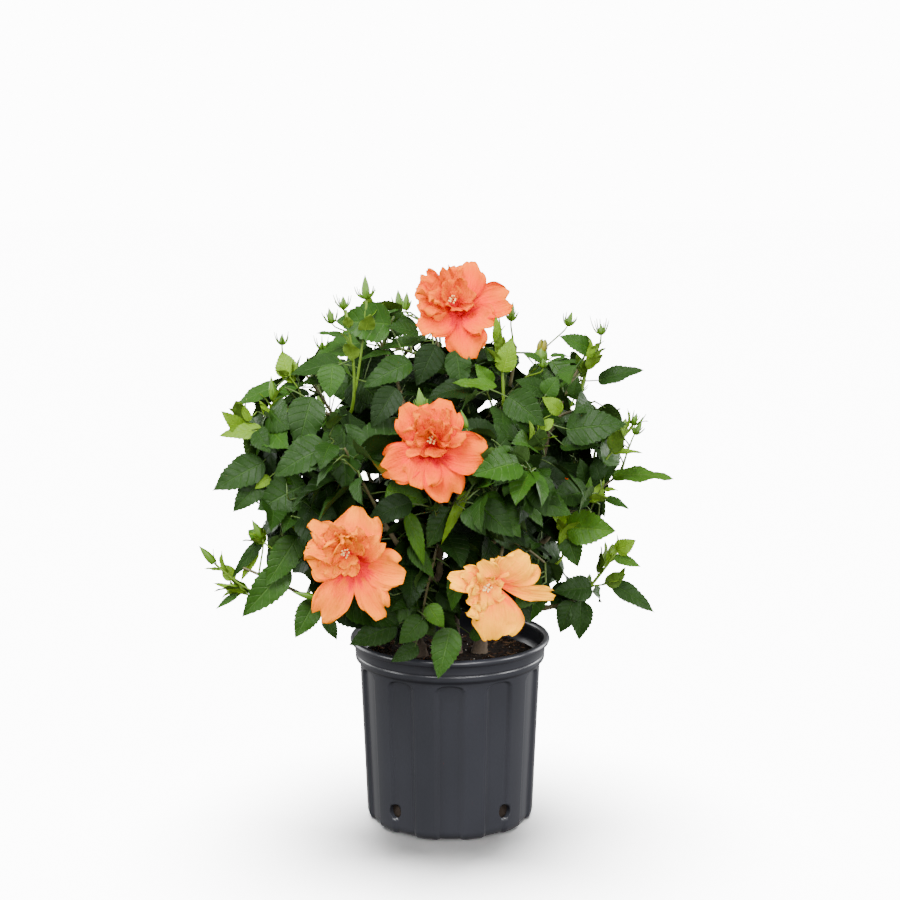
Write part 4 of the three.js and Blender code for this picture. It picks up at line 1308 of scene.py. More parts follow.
def growTwigs(name, index):
    # side twigs, finer twigs, and the places along them where a leaf may stand
    *_, span, twigCount = masses[name]
    stem = shootLines[name]
    draw, finer = seededRow("twigs", index), seededRow("finer", index)
    spots = spotsOn(shootTwigs[name], "shoot", 1.0)
    taper, tapering = growth["twigTaper"]
    for i in range(twigCount):
        share = growth["twigFrom"] + growth["twigOver"] * (i + 0.5) / twigCount
        root = stem["at"](share)
        along = stem["along"](share)
        radial = aroundOf(along, goldenAngle * i + draw() * growth["twigTurn"])
        heading = leanOf(growth["twigLean"], along, radial, outwardFrom(root), upright)
        length = span * (taper - tapering * share) * vary(draw, *growth["twigLength"])
        edge = blendOf(crown["leastReach"], 1, finer())
        # a twig that would leave the crown is tried again, shorter
        for scale in growth["twigTries"]:
            end = root + heading * (length * scale) + upright * (length * scale * growth["twigRise"])
            if openPlace(end, crown["twigReach"]):
                bowed = growth["twigBend"] * (2 * finer() - 0.6)
                line = routeOf(root, root.lerp(end, 0.5) + upright * length * scale * bowed, end)
                twig = newTwig(line, growth["twigRadius"], shootTwigs[name], share)
                spots += spotsOn(twig, "twig", edge)
                spots += finerTwigs(twig, length * scale, finer, edge)
                break
    return sorted(spots, key=lambda spot: finer())


def finerTwigs(parent, length, draw, edge):
    spots = []
    twig, count = twigs[parent]["route"], growth["finerTwigs"]
    for k in range(count):
        share = growth["finerFrom"] + growth["finerOver"] * (k + draw() * 0.5) / count
        root, along = twig["at"](share), twig["along"](share)
        radial = aroundOf(along, goldenAngle * (k + 1) + turnFull * draw())
        heading = leanOf(growth["finerLean"], along, radial, outwardFrom(root), upright)
        end = root + heading * length * growth["finerSpan"] * vary(draw, *growth["finerLength"])
        if not openPlace(end, edge) or not clearInPhoto([end]):
            continue
        line = routeOf(root, root.lerp(end, 0.5) + upright * 2, end)
        finer = newTwig(line, growth["twigRadius"] * growth["finerRadius"], parent, share)
        spots += spotsOn(finer, "finer", edge)
    return spots


def growFrom(spot, turn, roll, size, cell, draw):
    # tries a leaf in a few directions, and keeps the first that has room
    root, along, edge = spot["root"], spot["along"], spot["edge"]
    outward = outwardFrom(root)
    for more, scale in leafTries:
        radial = aroundOf(along, turn + more)
        stalk = leanOf(growth["stalkLean"], radial, along, outward, upright)
        blade = leanOf(growth["bladeLean"], stalk, radial, outward, upright)
        side = blade.cross(upright).normalized()
        face = leanOf((*growth["faceLean"], roll), upright, outward, radial, side)
        grown = size * scale
        start = root + stalk * leafShape["petiole"] * grown
        middle = start + blade * leafShape["length"] * grown * 0.5
        tip = start + blade * leafShape["length"] * grown
        if (tip - cell).length > crown["reach"] * crown["overReach"]:
            continue
        if not openPlace(middle, edge) or not openPlace(tip, edge):
            continue
        half = blade.cross(face).normalized() * leafShape["length"] * grown * 0.25
        if not clearInPhoto([middle, tip, middle + half, middle - half]):
            continue
        if any((middle - other).length < crown["spacing"] * grown for other in taken):
            continue
        taken.append(middle)
        if spot["twig"] is not None:
            useTwig(spot["twig"], spot["share"])
        return leafRow(root, stalk, blade, face, grown, draw, toneAndShadeFor(middle, draw))
    return None


def growLeaves(name, index, spots):
    cell = shootLines[name]["at"](crown["middleAt"])
    least, spread = growth["leafSize"]
    draw = seededRow("leaves", index)
    rows = []
    for i, spot in enumerate(spots):
        if len(rows) >= crown["mostLeaves"]:
            break
        size = (least + spread * draw() ** 0.8) * spot["ease"]
        turn = goldenAngle * i + draw() * growth["leafTurn"]
        row = growFrom(spot, turn, swing(draw, growth["leafRoll"]), size, cell, draw)
        if row:
            rows.append(row)
    return rows


def innerLeaves():
    # deep green leaves on the boughs and stems themselves, which close the middle of the crown; their deep
    # and dark tones are partly their own older green and partly painted shade
    draw = seededDraw(seeds["inner"])
    rows = []
    for name in (*boughs, *stems):
        route = routes[name]
        for i, share in enumerate(np.linspace(*growth["innerOn"]["bough" if name in boughs else "stem"])):
            root, along = route["at"](share), route["along"](share)
            spot = {"root": root, "along": along, "edge": 1.0, "twig": None}
            turn = goldenAngle * i + turnFull * draw()
            roll, size = swing(draw, growth["innerRoll"]), vary(draw, *growth["innerSize"])
            row = growFrom(spot, turn, roll, size, root, draw)
            if row:
                row["tone"] = "deep" if draw() > growth["innerDark"] else "dark"
                rows.append(row)
    return rows


toneLimits = (("fresh", 1.24), ("clear", 1.12), ("middle", 0.92), ("deep", 0.7), ("dark", -9))


def toneAndShadeFor(place, draw):
    # outer sprays are fresher young growth; leaves deeper in the crown take darker tones, partly their own
    # older green and partly painted shade, and higher ones lighter tones, partly painted light from above
    offset = place - crown["centre"]
    depth = math.sqrt(sum((offset[k] / crown["radii"][k]) ** 2 for k in range(3)))
    lightness = depth * 0.8 + 0.42 * draw() + 0.1 * (offset.z / crown["radii"].z)
    return next(tone for tone, limit in toneLimits if lightness > limit)


def nearestTwig(point):
    # the nearest place on a twig, rather behind the point than in front of it
    offset = np.array([place[0] for place in twigPlaces]) - np.array(point)
    cost = np.linalg.norm(offset, axis=1) + 1.5 * np.clip(-offset[:, 1], 0, None)
    place, index, share = twigPlaces[int(np.argmin(cost))]
    useTwig(index, share)
    return Vector(place), index, share


tuft = {
    # the small leaves near a shoot's tip
    "leaves": 5, "from": 0.5, "step": 0.12, "size": 0.36, "smaller": 0.045, "spread": 0.1, "petiole": 14,
    "stalkLean": (0.8, 0.8), "bladeLean": (0.6, 0.9, -0.1), "faceLean": (0.8, -0.6, 0.3),
}


def photoShoot(places, depth, radius, draw):
    points = [fromPhoto(across, down, depth) for across, down in places]
    root, parent, share = nearestTwig(points[0])
    line = routeOf(root, *points) if (root - points[0]).length > 6 else routeOf(*points)
    twig = newTwig(line, radius, parent, share, 2, 12, 7)
    useTwig(twig, 1)
    rows = []
    for k in range(tuft["leaves"]):
        place = tuft["from"] + tuft["step"] * k
        foot, along = line["at"](place), line["along"](place)
        radial = aroundOf(along, goldenAngle * k + turnFull * draw())
        stalk = leanOf(tuft["stalkLean"], radial, along)
        blade = leanOf(tuft["bladeLean"], radial, along, upright)
        face = leanOf(tuft["faceLean"], along, radial, upright)
        size = tuft["size"] - tuft["smaller"] * k + tuft["spread"] * draw()
        tone = "fresh" if k > 0 else "clear"
        rows.append(leafRow(foot, stalk, blade, face, size, draw, tone, tuft["petiole"]))
    return rows


def photoLeaf(footAcross, footDown, tipAcross, tipDown, depth, lean, wide, lying, tone, draw):
    start = fromPhoto(footAcross, footDown, depth)
    tip = fromPhoto(tipAcross, tipDown, depth + lean)
    root = nearestTwig(start)[0]
    blade = (tip - start).normalized()
    stalk = (start - root).normalized() if (start - root).length > 1 else blade
    aside = (Vector((1, 0, 0)), 0.3 * (draw() - 0.5))
    face = mixOf((towardsFront, 1 - lying), (upright, lying + 0.12), aside)
    row = leafRow(root, stalk, blade, face, (tip - start).length / leafShape["length"], draw, tone)
    row.update(start=start, wide=wide, bend=min(row["bend"], 0.5), fold=row["fold"] * 0.9)
    taken.append(start.lerp(tip, 0.5))
    reach = math.hypot(tipAcross - footAcross, tipDown - footDown)
    for share in (0.25, 0.7):
        point = start.lerp(tip, share)
        shownLeaves.append((*inPhoto(point), point.y, max(4, reach * 0.24)))
    return row


def growCrown():
    # shoots first, then twigs, then the leaves read off the photo, then the ones between them
    def bloomShootRadius(share):
        return growth["bloomShoot"] * (1 - growth["thinner"] * share)

    pile = newBin()
    for name, (on, *_) in blooms.items():
        shootLines[name] = shootRoute(on, bloomFoot(name)[0])
        addTube(pile, shootLines[name], bloomShootRadius, 18, 8)
    for name, (on, tip, *_) in masses.items():
        shootLines[name] = shootRoute(on, Vector(tip))
        shootTwigs[name] = newTwig(shootLines[name], growth["shootRadius"], None, 0, 0, 20, 8)
    spots = [growTwigs(name, index) for index, name in enumerate(masses)]
    draw = seededDraw(seeds["photo"])
    for places, depth, radius in photoShoots:
        leaves.extend(photoShoot(places, depth, radius, draw))
    leaves.extend(photoLeaf(*row, draw) for row in photoLeaves)
    for index, name in enumerate(masses):
        leaves.extend(growLeaves(name, index, spots[index]))
    leaves.extend(innerLeaves())
    return pile


twigPile = growCrown()
print("grown:", len(leaves), "leaves")

leafTones = {
    # top of the blade, its underside, veins, shine; the darker tones also carry painted shade deep in the
    # crown and the lighter ones painted light on lit leaves
    "dark": (linear(22, 42, 12), linear(34, 56, 18), linear(42, 66, 22), 0.11),
    "deep": (linear(32, 60, 14), linear(50, 76, 26), linear(58, 92, 28), 0.15),
    "middle": (linear(44, 80, 16), linear(66, 96, 32), linear(76, 114, 34), 0.2),
    "clear": (linear(60, 100, 16), linear(84, 116, 36), linear(98, 132, 36), 0.22),
    "fresh": (linear(102, 140, 18), linear(110, 144, 42), linear(142, 174, 46), 0.24),
}
leafFinish = {
    "roughness": (0.42, 0.6), "veinShare": (0.34, 0.3),   # of the top, of the underside
    "lateral": (9.0, -3.7), "rib": (-22.0, 1.5),          # how sharply the veins stand out
    "mottle": (9, 3), "mottled": (0.72, 1.22), "netting": (46, 2), "veinDepth": -0.8, "netHeight": 0.5,
    "bump": (0.6, 0.0012),
}
leavesTogether = 300   # the most in one piece


def leafMaterial(name, colour, veinColour, roughness, strength, shine):
    # veins are drawn along the leaf's own length and width, the same on each leaf
    material, tree, shader = newMaterial(name, roughness, {"Specular IOR Level": shine})
    spot, aside, along = bladeSpot(tree)
    pairs = mathNode(tree, "MULTIPLY", along, leafShape["veinPairs"])
    phase = mathNode(tree, "MULTIPLY_ADD", aside, -leafShape["veinLean"], pairs)
    ripple = mathNode(tree, "ABSOLUTE", mathNode(tree, "SUBTRACT", mathNode(tree, "FRACT", phase), 0.5))
    lateral = mathNode(tree, "MULTIPLY_ADD", ripple, *leafFinish["lateral"])
    rib = mathNode(tree, "MULTIPLY_ADD", aside, *leafFinish["rib"])
    vein = clamped(tree, mathNode(tree, "MAXIMUM", lateral, rib))
    mottle = noiseOf(tree, *leafFinish["mottle"], spot=spot)
    base = colourMix(tree, mottle, *(shadeOf(colour, factor) for factor in leafFinish["mottled"]))
    share = mathNode(tree, "MULTIPLY", vein, strength)
    tree.links.new(colourMix(tree, share, base, veinColour), shader.inputs["Base Color"])
    netting = noiseOf(tree, *leafFinish["netting"], spot=spot)
    netting = mathNode(tree, "MULTIPLY", netting, leafFinish["netHeight"])
    height = mathNode(tree, "MULTIPLY_ADD", vein, leafFinish["veinDepth"], netting)
    bumpFrom(tree, shader, height, *leafFinish["bump"])
    return material


stalkFinish = {"roughness": 0.5, "shine": 0.5, "speckle": (90, 3), "grain": (300, 2), "bump": (0.2, 0.0006)}
stalkColours = {
    "stalkGreen": (linear(82, 116, 18), linear(118, 152, 36)),
    "petioleGreen": (linear(52, 76, 26), linear(84, 110, 44)),
    "twigGreen": (linear(58, 78, 26), linear(92, 112, 44)),
    "shootBrown": (linear(70, 66, 38), linear(104, 100, 62)),
    "stamenCream": (linear(238, 190, 96), linear(250, 224, 150)),
    "budGreen": (linear(56, 96, 10), linear(98, 140, 22)),
    "budCream": (linear(100, 116, 16), linear(150, 136, 28)),
}
stalkLooks = {name: speckled(name, stalkFinish, *colours) for name, colours in stalkColours.items()}


def leafMaterials(tone):
    colour, under, vein, shine = leafTones[tone]
    sides = zip(("Blade", "Underside"), (colour, under), leafFinish["roughness"], leafFinish["veinShare"])
    made = [leafMaterial(tone + side, shade, vein, roughness, veinShare, shine)
            for side, shade, roughness, veinShare in sides]
    return [*made, stalkLooks["stalkGreen" if tone == "fresh" else "petioleGreen"]]


def buildLeaves():
    for tone in leafTones:
        materials = leafMaterials(tone)
        rows = [row for row in leaves if row["tone"] == tone]
        for part, first in enumerate(range(0, len(rows), leavesTogether)):
            pile = newBin()
            addLeaves(pile, rows[first:first + leavesTogether])
            pieceFrom(f"leaves_{tone}_{part + 1}", pile, materials, list(masses))


# Blooms: broad outer petals round a heart of ruffled ones. Angles are in degrees as the bloom
# is looked at, anticlockwise from its right

petalShape = {
    "rows": 24, "columns": 19, "thickness": 0.45, "broadestAt": 0.72,
    "scallops": ((4.6, 1, 0.07), (10, 2, 0.03), (23, 5, 0.008)),   # folds of the margin, phases, depth
    "creaseWidth": 0.09, "creaseDepth": 0.9,
    # against the table below: the outer petals' length, width, lift at the foot and ruffle
    "longer": 1.06, "wider": 1.2, "steeper": 24, "rougher": 1.2,
}

petalsOf = {
    "bloom_top": {
        # angle, length, width, lift at the foot, lift at the tip, ruffle
        "outer": [(80, 56, 42, 38, -6, 4.2), (12, 60, 38, 30, -14, 3.6), (-36, 44, 40, 34, 6, 4.0),
                  (-80, 58, 44, 26, -22, 3.4), (212, 54, 40, 30, -8, 4.2), (158, 54, 50, 34, -12, 4.6)],
        "inner": 13, "heart": (-9, 8), "innerLength": 35, "seed": 61,
    },
    "bloom_middle": {
        "outer": [(72, 58, 46, 36, 4, 4.0), (122, 58, 38, 40, -6, 3.8), (204, 58, 42, 28, -16, 3.4),
                  (250, 44, 42, 34, -2, 4.2), (292, 58, 40, 28, -16, 4.2), (-6, 62, 42, 32, -10, 4.0)],
        "inner": 13, "heart": (2, 10), "innerLength": 34, "seed": 62,
    },
    "bloom_low_left": {
        "outer": [(82, 66, 52, 34, -2, 4.4), (42, 52, 24, 44, 14, 2.6), (-10, 57, 44, 30, -6, 3.6),
                  (-62, 66, 33, 26, -18, 5.0), (238, 74, 36, 24, -16, 2.4), (166, 54, 50, 36, -4, 4.2)],
        "inner": 15, "heart": (-9, 12), "innerLength": 39, "seed": 63, "light": 44,
    },
    "bloom_low_right": {
        "outer": [(52, 52, 48, 40, 0, 3.6), (126, 60, 26, 44, 12, 2.6), (-14, 66, 18, 14, -12, 2.0),
                  (-92, 62, 52, 26, -22, 4.6), (184, 34, 40, 38, 0, 5.4)],
        "inner": 10, "heart": (-16, 5), "innerLength": 33, "seed": 64, "flush": 0.17, "light": 92,
    },
    "bloom_back_left": {
        "outer": [(88, 58, 46, 34, -6, 4.0), (18, 58, 42, 30, -12, 3.8), (-52, 58, 42, 30, -14, 3.8),
                  (-124, 58, 42, 30, -12, 3.8), (160, 58, 46, 34, -6, 4.0)],
        "inner": 10, "heart": (4, 8), "innerLength": 32, "seed": 65,
    },
    "bloom_back_right": {
        "outer": [(70, 58, 46, 34, -6, 4.0), (0, 58, 42, 30, -12, 3.8), (-70, 58, 42, 30, -14, 3.8),
                  (-144, 58, 42, 30, -12, 3.8), (142, 58, 46, 34, -6, 4.0)],
        "inner": 10, "heart": (-4, 8), "innerLength": 32, "seed": 66,
    },
}
petalColours = {
    # throat, near the throat, middle, rim, and the ruffled heart's paler tint
    "bloom_top": ((214, 0, 30), (255, 50, 8), (255, 90, 0), (255, 118, 0), (255, 106, 2)),
    "bloom_middle": ((214, 0, 32), (255, 54, 12), (255, 90, 0), (255, 118, 0), (255, 108, 4)),
    "bloom_low_left": ((230, 20, 34), (255, 92, 6), (255, 124, 0), (255, 138, 0), (255, 128, 2)),
    "bloom_low_right": ((250, 84, 0), (255, 136, 0), (255, 160, 0), (255, 176, 2), (255, 164, 0)),
    "bloom_back_left": ((214, 0, 32), (255, 52, 10), (255, 90, 0), (255, 118, 0), (255, 106, 4)),
    "bloom_back_right": ((222, 10, 32), (255, 70, 10), (255, 106, 0), (255, 128, 0), (255, 116, 4)),
}


def petalWaves(s, t, phase):
    # long folds that grow towards the margin, then smaller ones, and creases near the foot
    margin = np.abs(s)
    wavy = np.sin(6.5 * s + 3.1 * t + phase) * (0.35 + 0.65 * margin)
    wavy = wavy + 0.6 * np.sin(14 * s - 4 * t + 2.3 * phase) * margin ** 1.2
    wavy = wavy + 0.7 * np.sin(10 * t + 2 * phase) * margin ** 2 + 0.28 * np.sin(21 * s + 1.7 * phase) * t
    return wavy + 0.5 * np.sin(8 * t + 3 * phase) * np.cos(5 * s + phase) + 0.35 * np.cos(15 * s) * (1 - t)


def addPetal(pile, base, out, facing, petal, slot):
    # a thin ruffled shell that rises from the heart and bends back at its tip
    rows, columns = petalShape["rows"], petalShape["columns"]
    side = out.cross(facing).normalized()
    length, width, phase = petal["length"], petal["width"], petal["phase"]
    t = np.linspace(0, 1, rows)[:, None]      # along the petal
    s = np.linspace(-1, 1, columns)[None, :]  # across it
    lift = np.radians(blendOf(petal["liftFoot"], petal["liftTip"], t ** 0.8))
    step = 1 / (rows - 1)
    onward, rise = (np.cumsum(way(lift), 0) * step - way(lift[0]) * step for way in (np.cos, np.sin))
    broadest = petalShape["broadestAt"]
    spread = 0.1 + 0.9 * np.sin(np.pi / 2 * np.clip(t / broadest, 0, 1)) ** 0.9
    spread = spread * (1 - 0.3 * np.clip((t - broadest) / (1 - broadest), 0, 1) ** 2)
    edge = 1 - 0.15 * s ** 2
    for folds, phases, depth in petalShape["scallops"]:
        edge = edge - depth * np.cos(folds * s + phases * phase)
    reach = onward * (1 + (edge - 1) * t ** 1.5) * length
    across = width / 2 * spread * np.sin(s * 1.45) / np.sin(1.45)
    cup = petal["cup"] * width * s ** 2 * np.sin(np.pi * t) ** 0.7
    crease = petalShape["creaseDepth"] * np.exp(-(s / petalShape["creaseWidth"]) ** 2) * (1 - t)
    raised = petal["ruffle"] * t ** 1.3 * petalWaves(s, t, phase) + cup - crease
    turned, level = np.sin(petal["twist"] * t), np.cos(petal["twist"] * t)
    across, raised = across * level - raised * turned, across * turned + raised * level
    place = np.array(base)
    for distance, way in ((reach, out), (across, side), (rise * length + raised, facing)):
        place = place + distance[..., None] * np.array(way)
    normal = np.cross(np.gradient(place, axis=0), np.gradient(place, axis=1))
    normal /= np.maximum(1e-9, np.linalg.norm(normal, axis=2))[..., None]
    inner = np.zeros((rows, columns))
    inner[1:-1, 1:-1] = 1
    back = place - normal * (petalShape["thickness"] * inner)[..., None]
    faces = gridFaces(rows, columns)
    upPattern = bladeFrom + bladeRise * t * (0.9 + 0.1 * edge)
    uvs = np.stack(np.broadcast_arrays(0.5 + bladeSpan * s, upPattern), -1)
    addTo(pile, place, faces, slot, uvs)
    addTo(pile, back, faces[:, ::-1], slot, uvs)


petalFinish = {
    "roughness": 0.58, "flush": 0.26, "heartFlush": 0.1, "throatSpot": (0.5, 0.03),
    "values": {
        "Subsurface Weight": 0.18, "Subsurface Radius": (0.006, 0.003, 0.0015), "Specular IOR Level": 0.0,
    },
    "streaks": (1, 3, (30, 2.2, 1)), "soft": (4.5, 3), "streakShare": 0.3, "softShare": 0.6, "shift": -0.45,
    "stops": (0, 0.15, 0.4), "rimFrom": 0.96,     # where the colours lie along the petal, past the flush
    "vein": (3.8, -1.85), "veinFade": (-0.5, 0.62),
    # a deeper orange along the margin's sides and tip, and in blotches
    "sideMargin": (14.0, -12.9), "tipMargin": (22.0, -20.4), "blotches": (7.0, -3.7),
    "deeper": 0.62, "deeperShare": 0.42, "bump": (0.8, 0.0026),
}


def petalMaterial(name, flush, throat, near, middle, rim):
    look = petalFinish
    material, tree, shader = newMaterial(name, look["roughness"], look["values"])
    spot, aside, along = bladeSpot(tree)
    streaks = noiseOf(tree, *look["streaks"], spot=spot)
    soft = noiseOf(tree, *look["soft"], spot=spot)
    share = mathNode(tree, "MULTIPLY_ADD", soft, look["softShare"], along)
    share = mathNode(tree, "MULTIPLY_ADD", streaks, look["streakShare"], share)
    share = mathNode(tree, "ADD", share, look["shift"])
    colours = [linear(*colour) for colour in (throat, near, middle, rim)]
    stops = [*(flush + stop for stop in look["stops"]), look["rimFrom"]]
    painted = rampOf(tree, share, list(zip(stops, colours)))
    vein = clamped(tree, mathNode(tree, "MULTIPLY_ADD", streaks, *look["vein"]))
    vein = mathNode(tree, "MULTIPLY", vein, mathNode(tree, "MULTIPLY_ADD", along, *look["veinFade"]))
    flushed = tuple(0.7 * a + 0.3 * b for a, b in zip(colours[1], colours[0]))
    veined = colourMix(tree, vein, painted, flushed)
    sides, tip, blotches = (mathNode(tree, "MULTIPLY_ADD", value, *look[kind]) for value, kind in
                            ((aside, "sideMargin"), (along, "tipMargin"), (soft, "blotches")))
    margin = mathNode(tree, "MAXIMUM", mathNode(tree, "MAXIMUM", sides, tip), blotches)
    margin = mathNode(tree, "MULTIPLY", clamped(tree, margin), look["deeperShare"])
    deeper = shadeOf(colours[2], look["deeper"])
    tree.links.new(colourMix(tree, margin, veined, deeper), shader.inputs["Base Color"])
    bumpFrom(tree, shader, mathNode(tree, "ADD", streaks, soft), *look["bump"])
    return material


stamens = {
    "count": 9, "spread": 3.4, "lean": 0.3, "length": (5, 5), "thread": 0.5, "anther": 1.3, "antherFrom": 0.7,
}
heartShape = {
    # how far a petal strays from its place in the spiral, and is drawn to the heart's side
    "stray": 0.9, "drawn": 0.045,
    # length: towards the heart's side; in the middle, more at the rim, and spread
    "away": (0.95, 0.3), "length": (0.62, 0.4, 0.3),
    # lift in degrees: in the middle, less at the rim; swing of the tip's
    "liftFoot": (92, 34), "liftTip": (66, 52), "tipSwing": 60,
    "width": (16, 20), "ruffle": (3.4, 3.6), "cup": (0.1, 0.24), "twist": 2.4,
    # the petals' feet: along the heart's own side, outwards and forwards, in the middle and at the rim
    "aside": (1.2, 0.3), "outwards": 7, "forwards": (3, 4), "stamens": (1.1, 17),
}
outerShape = {"cup": (0.05, 0.06), "twist": 0.5, "outwards": 4, "forwards": 2}
bloomCore = {
    "domeReach": 5, "domeRadius": 9, "domeRound": 1.35,
    "cupFrom": 18, "cupTo": 6, "cupRadius": (3.0, 3.4), "cupRound": 1.5,
}


def addStamens(pile, spot, facing, draw):
    # a loose tuft of cream anthers in the heart
    def radiusAt(share):
        return stamens["thread"] if share < stamens["antherFrom"] else stamens["anther"]

    for k in range(stamens["count"]):
        out = aroundOf(facing, goldenAngle * k)
        start = spot + out * stamens["spread"] * math.sqrt(k / stamens["count"])
        end = start + mixOf((facing, 1), (out, stamens["lean"])) * vary(draw, *stamens["length"])
        addTube(pile, routeOf(start, end), radiusAt, 6, 6, 3)


def addOuterPetals(pile, base, sideways, above, facing, look, draw):
    for angle, length, width, liftFoot, liftTip, ruffle in look["outer"]:
        turn = math.radians(angle)
        out = sideways * math.cos(turn) + above * math.sin(turn)
        petal = {
            "length": length * petalShape["longer"], "width": width * petalShape["wider"],
            "liftFoot": liftFoot + petalShape["steeper"], "liftTip": liftTip,
            "ruffle": ruffle * petalShape["rougher"], "cup": vary(draw, *outerShape["cup"]),
            "twist": swing(draw, outerShape["twist"]), "phase": turnFull * draw(),
        }
        foot = base + out * outerShape["outwards"] + facing * outerShape["forwards"]
        addPetal(pile, foot, out, facing, petal, 0)


def addHeartPetals(pile, base, sideways, above, facing, look, draw):
    # smaller, steeper petals in a spiral, leaning towards the heart's own side of the bloom
    shape = heartShape
    heart = sideways * look["heart"][0] + above * look["heart"][1]
    least, leaning = shape["away"]
    short, longer, spread = shape["length"]
    for k in range(look["inner"]):
        turn = goldenAngle * k + shape["stray"] * draw()
        ring = math.sqrt((k + 0.5) / look["inner"])
        out = mixOf((sideways, math.cos(turn)), (above, math.sin(turn)), (heart, shape["drawn"]))
        away = least + leaning * out.dot(heart.normalized())
        liftFoot, liftTip, aside = (inMiddle - less * ring for inMiddle, less in
                                    (shape["liftFoot"], shape["liftTip"], shape["aside"]))
        petal = {
            "length": look["innerLength"] * away * (short + longer * ring + spread * draw()),
            "width": vary(draw, *shape["width"]),
            "liftFoot": liftFoot, "liftTip": liftTip + swing(draw, shape["tipSwing"]),
            "ruffle": vary(draw, *shape["ruffle"]), "cup": vary(draw, *shape["cup"]),
            "twist": swing(draw, shape["twist"]), "phase": turnFull * draw(),
        }
        forwards = shape["forwards"][0] + shape["forwards"][1] * (1 - ring)
        foot = base + heart * aside + out * shape["outwards"] * ring + facing * forwards
        addPetal(pile, foot, out, facing, petal, 1)
    aside, forwards = shape["stamens"]
    addStamens(pile, base + heart * aside + facing * forwards, facing, draw)


def addCore(pile, base, facing):
    # a dome in the throat's colour closes the heart, and a green cup holds the petals
    def domeRadius(share):
        return bloomCore["domeRadius"] * math.cos(share * bloomCore["domeRound"])

    def cupRadius(share):
        narrow, wider = bloomCore["cupRadius"]
        return narrow + wider * math.sin(share * bloomCore["cupRound"])

    reach = bloomCore["domeReach"]
    addTube(pile, routeOf(base - facing * reach, base + facing * reach), domeRadius, 6, 16)
    pile["uvs"][-1][:] = petalFinish["throatSpot"]
    cup = routeOf(base - facing * bloomCore["cupFrom"], base - facing * bloomCore["cupTo"])
    addTube(pile, cup, cupRadius, 8, 15, 2)


def buildBlooms():
    for name in blooms:
        look = petalsOf[name]
        draw = seededDraw(look["seed"] * seeds["petals"])
        base, facing = bloomFoot(name)
        front = facing.y < 0
        reference = Vector((1, 0, 0)) if front else Vector((-1, 0, 0))
        sideways = (reference - facing * reference.dot(facing)).normalized()
        above = facing.cross(sideways)
        pile = newBin()
        addOuterPetals(pile, base, sideways, above, facing, look, draw)
        addHeartPetals(pile, base, sideways, above, facing, look, draw)
        addCore(pile, base, facing)
        throat, near, middle, rim, pale = petalColours[name]
        flush = look.get("flush", petalFinish["flush"])
        materials = [petalMaterial(name + "_petals", flush, throat, near, middle, rim),
                     petalMaterial(name + "_heart", petalFinish["heartFlush"], throat, near, pale, rim),
                     stalkLooks["stalkGreen"], stalkLooks["stamenCream"]]
        petals = pieceFrom(name + "_petals", pile, materials, [name])
        lightPiece(petals, "bloom" if front else "backBloom", look.get("light"))


# Buds: a pointed green calyx with a ring of thin bracts, on a long stalk

photoBuds = [
    # foot across and down, tip across and down, depth, thickness, spread of the bracts, their length
    (366, 299, 365, 275, -66, 10, 1.3, 14),
    (344, 309, 343, 296, -70, 8, 0.9, 13),
    (282, 345, 282, 334, -30, 7, 1.1, 12),
    (322, 350, 322, 341, -10, 7, 1.0, 13),
    (273, 400, 271, 376, -50, 9, 0.4, 9),
    (214, 563, 199, 546, -66, 10, 0.3, 9),
    (262, 538, 252, 520, -80, 10, 0.3, 8),
    (406, 310, 407, 292, -10, 9, 0.6, 8),
    (511, 321, 513, 302, -10, 8, 0.9, 10),
    (540, 362, 543, 342, -30, 17, 0.3, 9),
    (543, 368, 543, 358, -44, 6, 1.0, 8),
    (601, 335, 601, 324, -20, 7, 0.8, 17),
    (633, 425, 637, 413, -60, 7, 0.9, 13),
    (422, 411, 419, 388, -180, 11, 0.8, 11),
    (466, 428, 461, 410, -176, 8, 0.3, 8),
    (316, 598, 292, 592, -120, 8, 0.3, 8),
    (478, 510, 470, 520, -170, 6, 0.8, 8),
]
backBuds = [
    # foot and tip in millimetres, thickness, spread and length of the bracts
    ((-66, 132, 640), (-68, 136, 664), 10, 0.9, 12),
    ((64, 142, 634), (66, 146, 654), 9, 1.1, 12),
    ((-150, 60, 628), (-154, 62, 648), 8, 1.0, 12),
    ((150, 70, 624), (156, 74, 642), 8, 1.0, 12),
    ((-170, 172, 506), (-180, 182, 522), 9, 0.8, 11),
    ((170, 160, 526), (182, 170, 542), 9, 0.8, 11),
    ((12, 234, 530), (14, 242, 552), 10, 0.8, 12),
    ((-236, 90, 470), (-248, 96, 486), 8, 0.9, 11),
    ((240, 92, 480), (250, 96, 496), 8, 0.9, 11),
]
bud = {
    # how far below it a stalk looks for its twig, its radius and taper, and how it curves
    "twigBelow": 30, "stalk": (1.25, 0.2), "sway": 0.12, "stalkEnd": 8,
    "ridge": 0.09, "ridges": 5, "swelling": (0.86, 0.14, 0.72, 0.9),
    "bracts": 8, "bractRadius": 1.5, "bractTaper": 0.72, "bractReach": (0.75, 0.5),
    "openingFrom": 12, "rolledPetals": 4,   # buds thicker than this show their petals
}


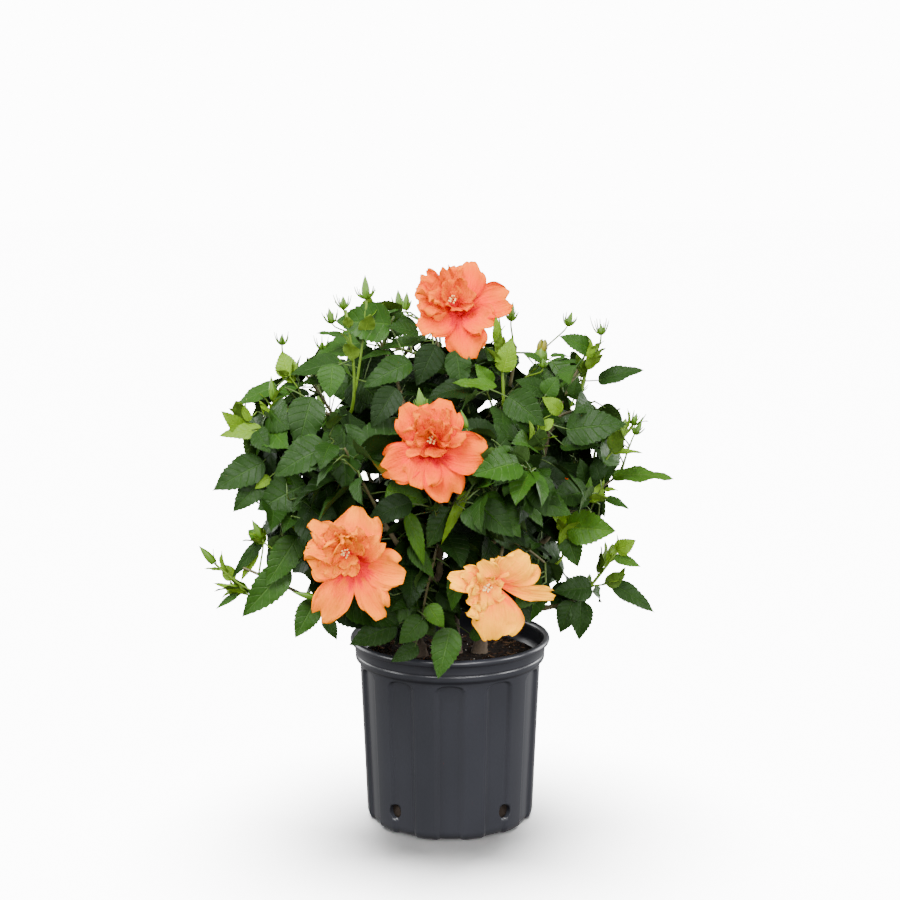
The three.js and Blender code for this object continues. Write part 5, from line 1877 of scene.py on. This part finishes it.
def addBud(pile, foot, tip, thickness, spread, bractReach, draw):
    root = nearestTwig(foot - upright * bud["twigBelow"])[0]
    along = (tip - foot).normalized()
    sway = Vector((draw() - 0.5, draw() - 0.5, 0)) * (foot - root).length * bud["sway"]
    stalk = routeOf(root, root.lerp(foot, 0.5) + sway, foot - along * bud["stalkEnd"], foot)
    radius, taper = bud["stalk"]
    addTube(pile, stalk, lambda share: radius - taper * share, 10, 6)
    thick = thickness / 2

    def ridged(middle, direction, share, radius):
        turn = math.atan2(direction.dot(aroundOf(along, math.pi / 2)), direction.dot(aroundOf(along, 0)))
        return radius * bud["ridge"] * math.cos(bud["ridges"] * turn)

    def swollen(share):
        span, start, skew, fullness = bud["swelling"]
        return thick * max(0.05, math.sin(math.pi * min(1, share * span + start) ** skew)) ** fullness

    def rolled(share):
        return thick * 0.42 * math.sin(math.pi * (0.16 + 0.76 * share))

    addTube(pile, routeOf(foot, tip), swollen, 12, 15, 1, ridged)
    for k in range(bud["bracts"]):
        out = aroundOf(along, turnFull * (k + 0.4 * draw()) / bud["bracts"])
        reach = bractReach * vary(draw, *bud["bractReach"])
        start = foot + along * 1.0 + out * thick * 0.3
        end = start + mixOf((out, spread), (along, 1)) * reach + along * reach * 0.35
        bract = routeOf(start, start + out * reach * 0.5 * spread + along, end)
        addTube(pile, bract, lambda share: bud["bractRadius"] * (1 - bud["bractTaper"] * share), 5, 4, 1)
    if thickness > bud["openingFrom"]:
        # rolled petals show between the tips of the calyx
        for k in range(bud["rolledPetals"]):
            out = aroundOf(along, turnFull * k / bud["rolledPetals"] + 0.5)
            low = foot.lerp(tip, 0.45) + out * thick * 0.25
            petal = routeOf(low, low.lerp(tip, 0.6) + out * thick * 0.55, tip + along * 3 + out * thick * 0.3)
            addTube(pile, petal, rolled, 8, 8, 2)


def buildBuds():
    draw = seededDraw(seeds["buds"])
    pile = newBin()
    for footAcross, footDown, tipAcross, tipDown, depth, *shape in photoBuds:
        foot, tip = fromPhoto(footAcross, footDown, depth), fromPhoto(tipAcross, tipDown, depth)
        addBud(pile, foot, tip, *shape, draw)
    for foot, tip, *shape in backBuds:
        addBud(pile, Vector(foot), Vector(tip), *shape, draw)
    looks = [stalkLooks[name] for name in ("stalkGreen", "budGreen", "budCream")]
    pieceFrom("buds", pile, looks, [])
    drawTwigs(twigPile)
    looks = [stalkLooks[name] for name in ("shootBrown", "twigGreen", "stalkGreen")]
    pieceFrom("green_twigs", twigPile, looks, list(masses))


buildLeaves()
buildBlooms()
buildBuds()
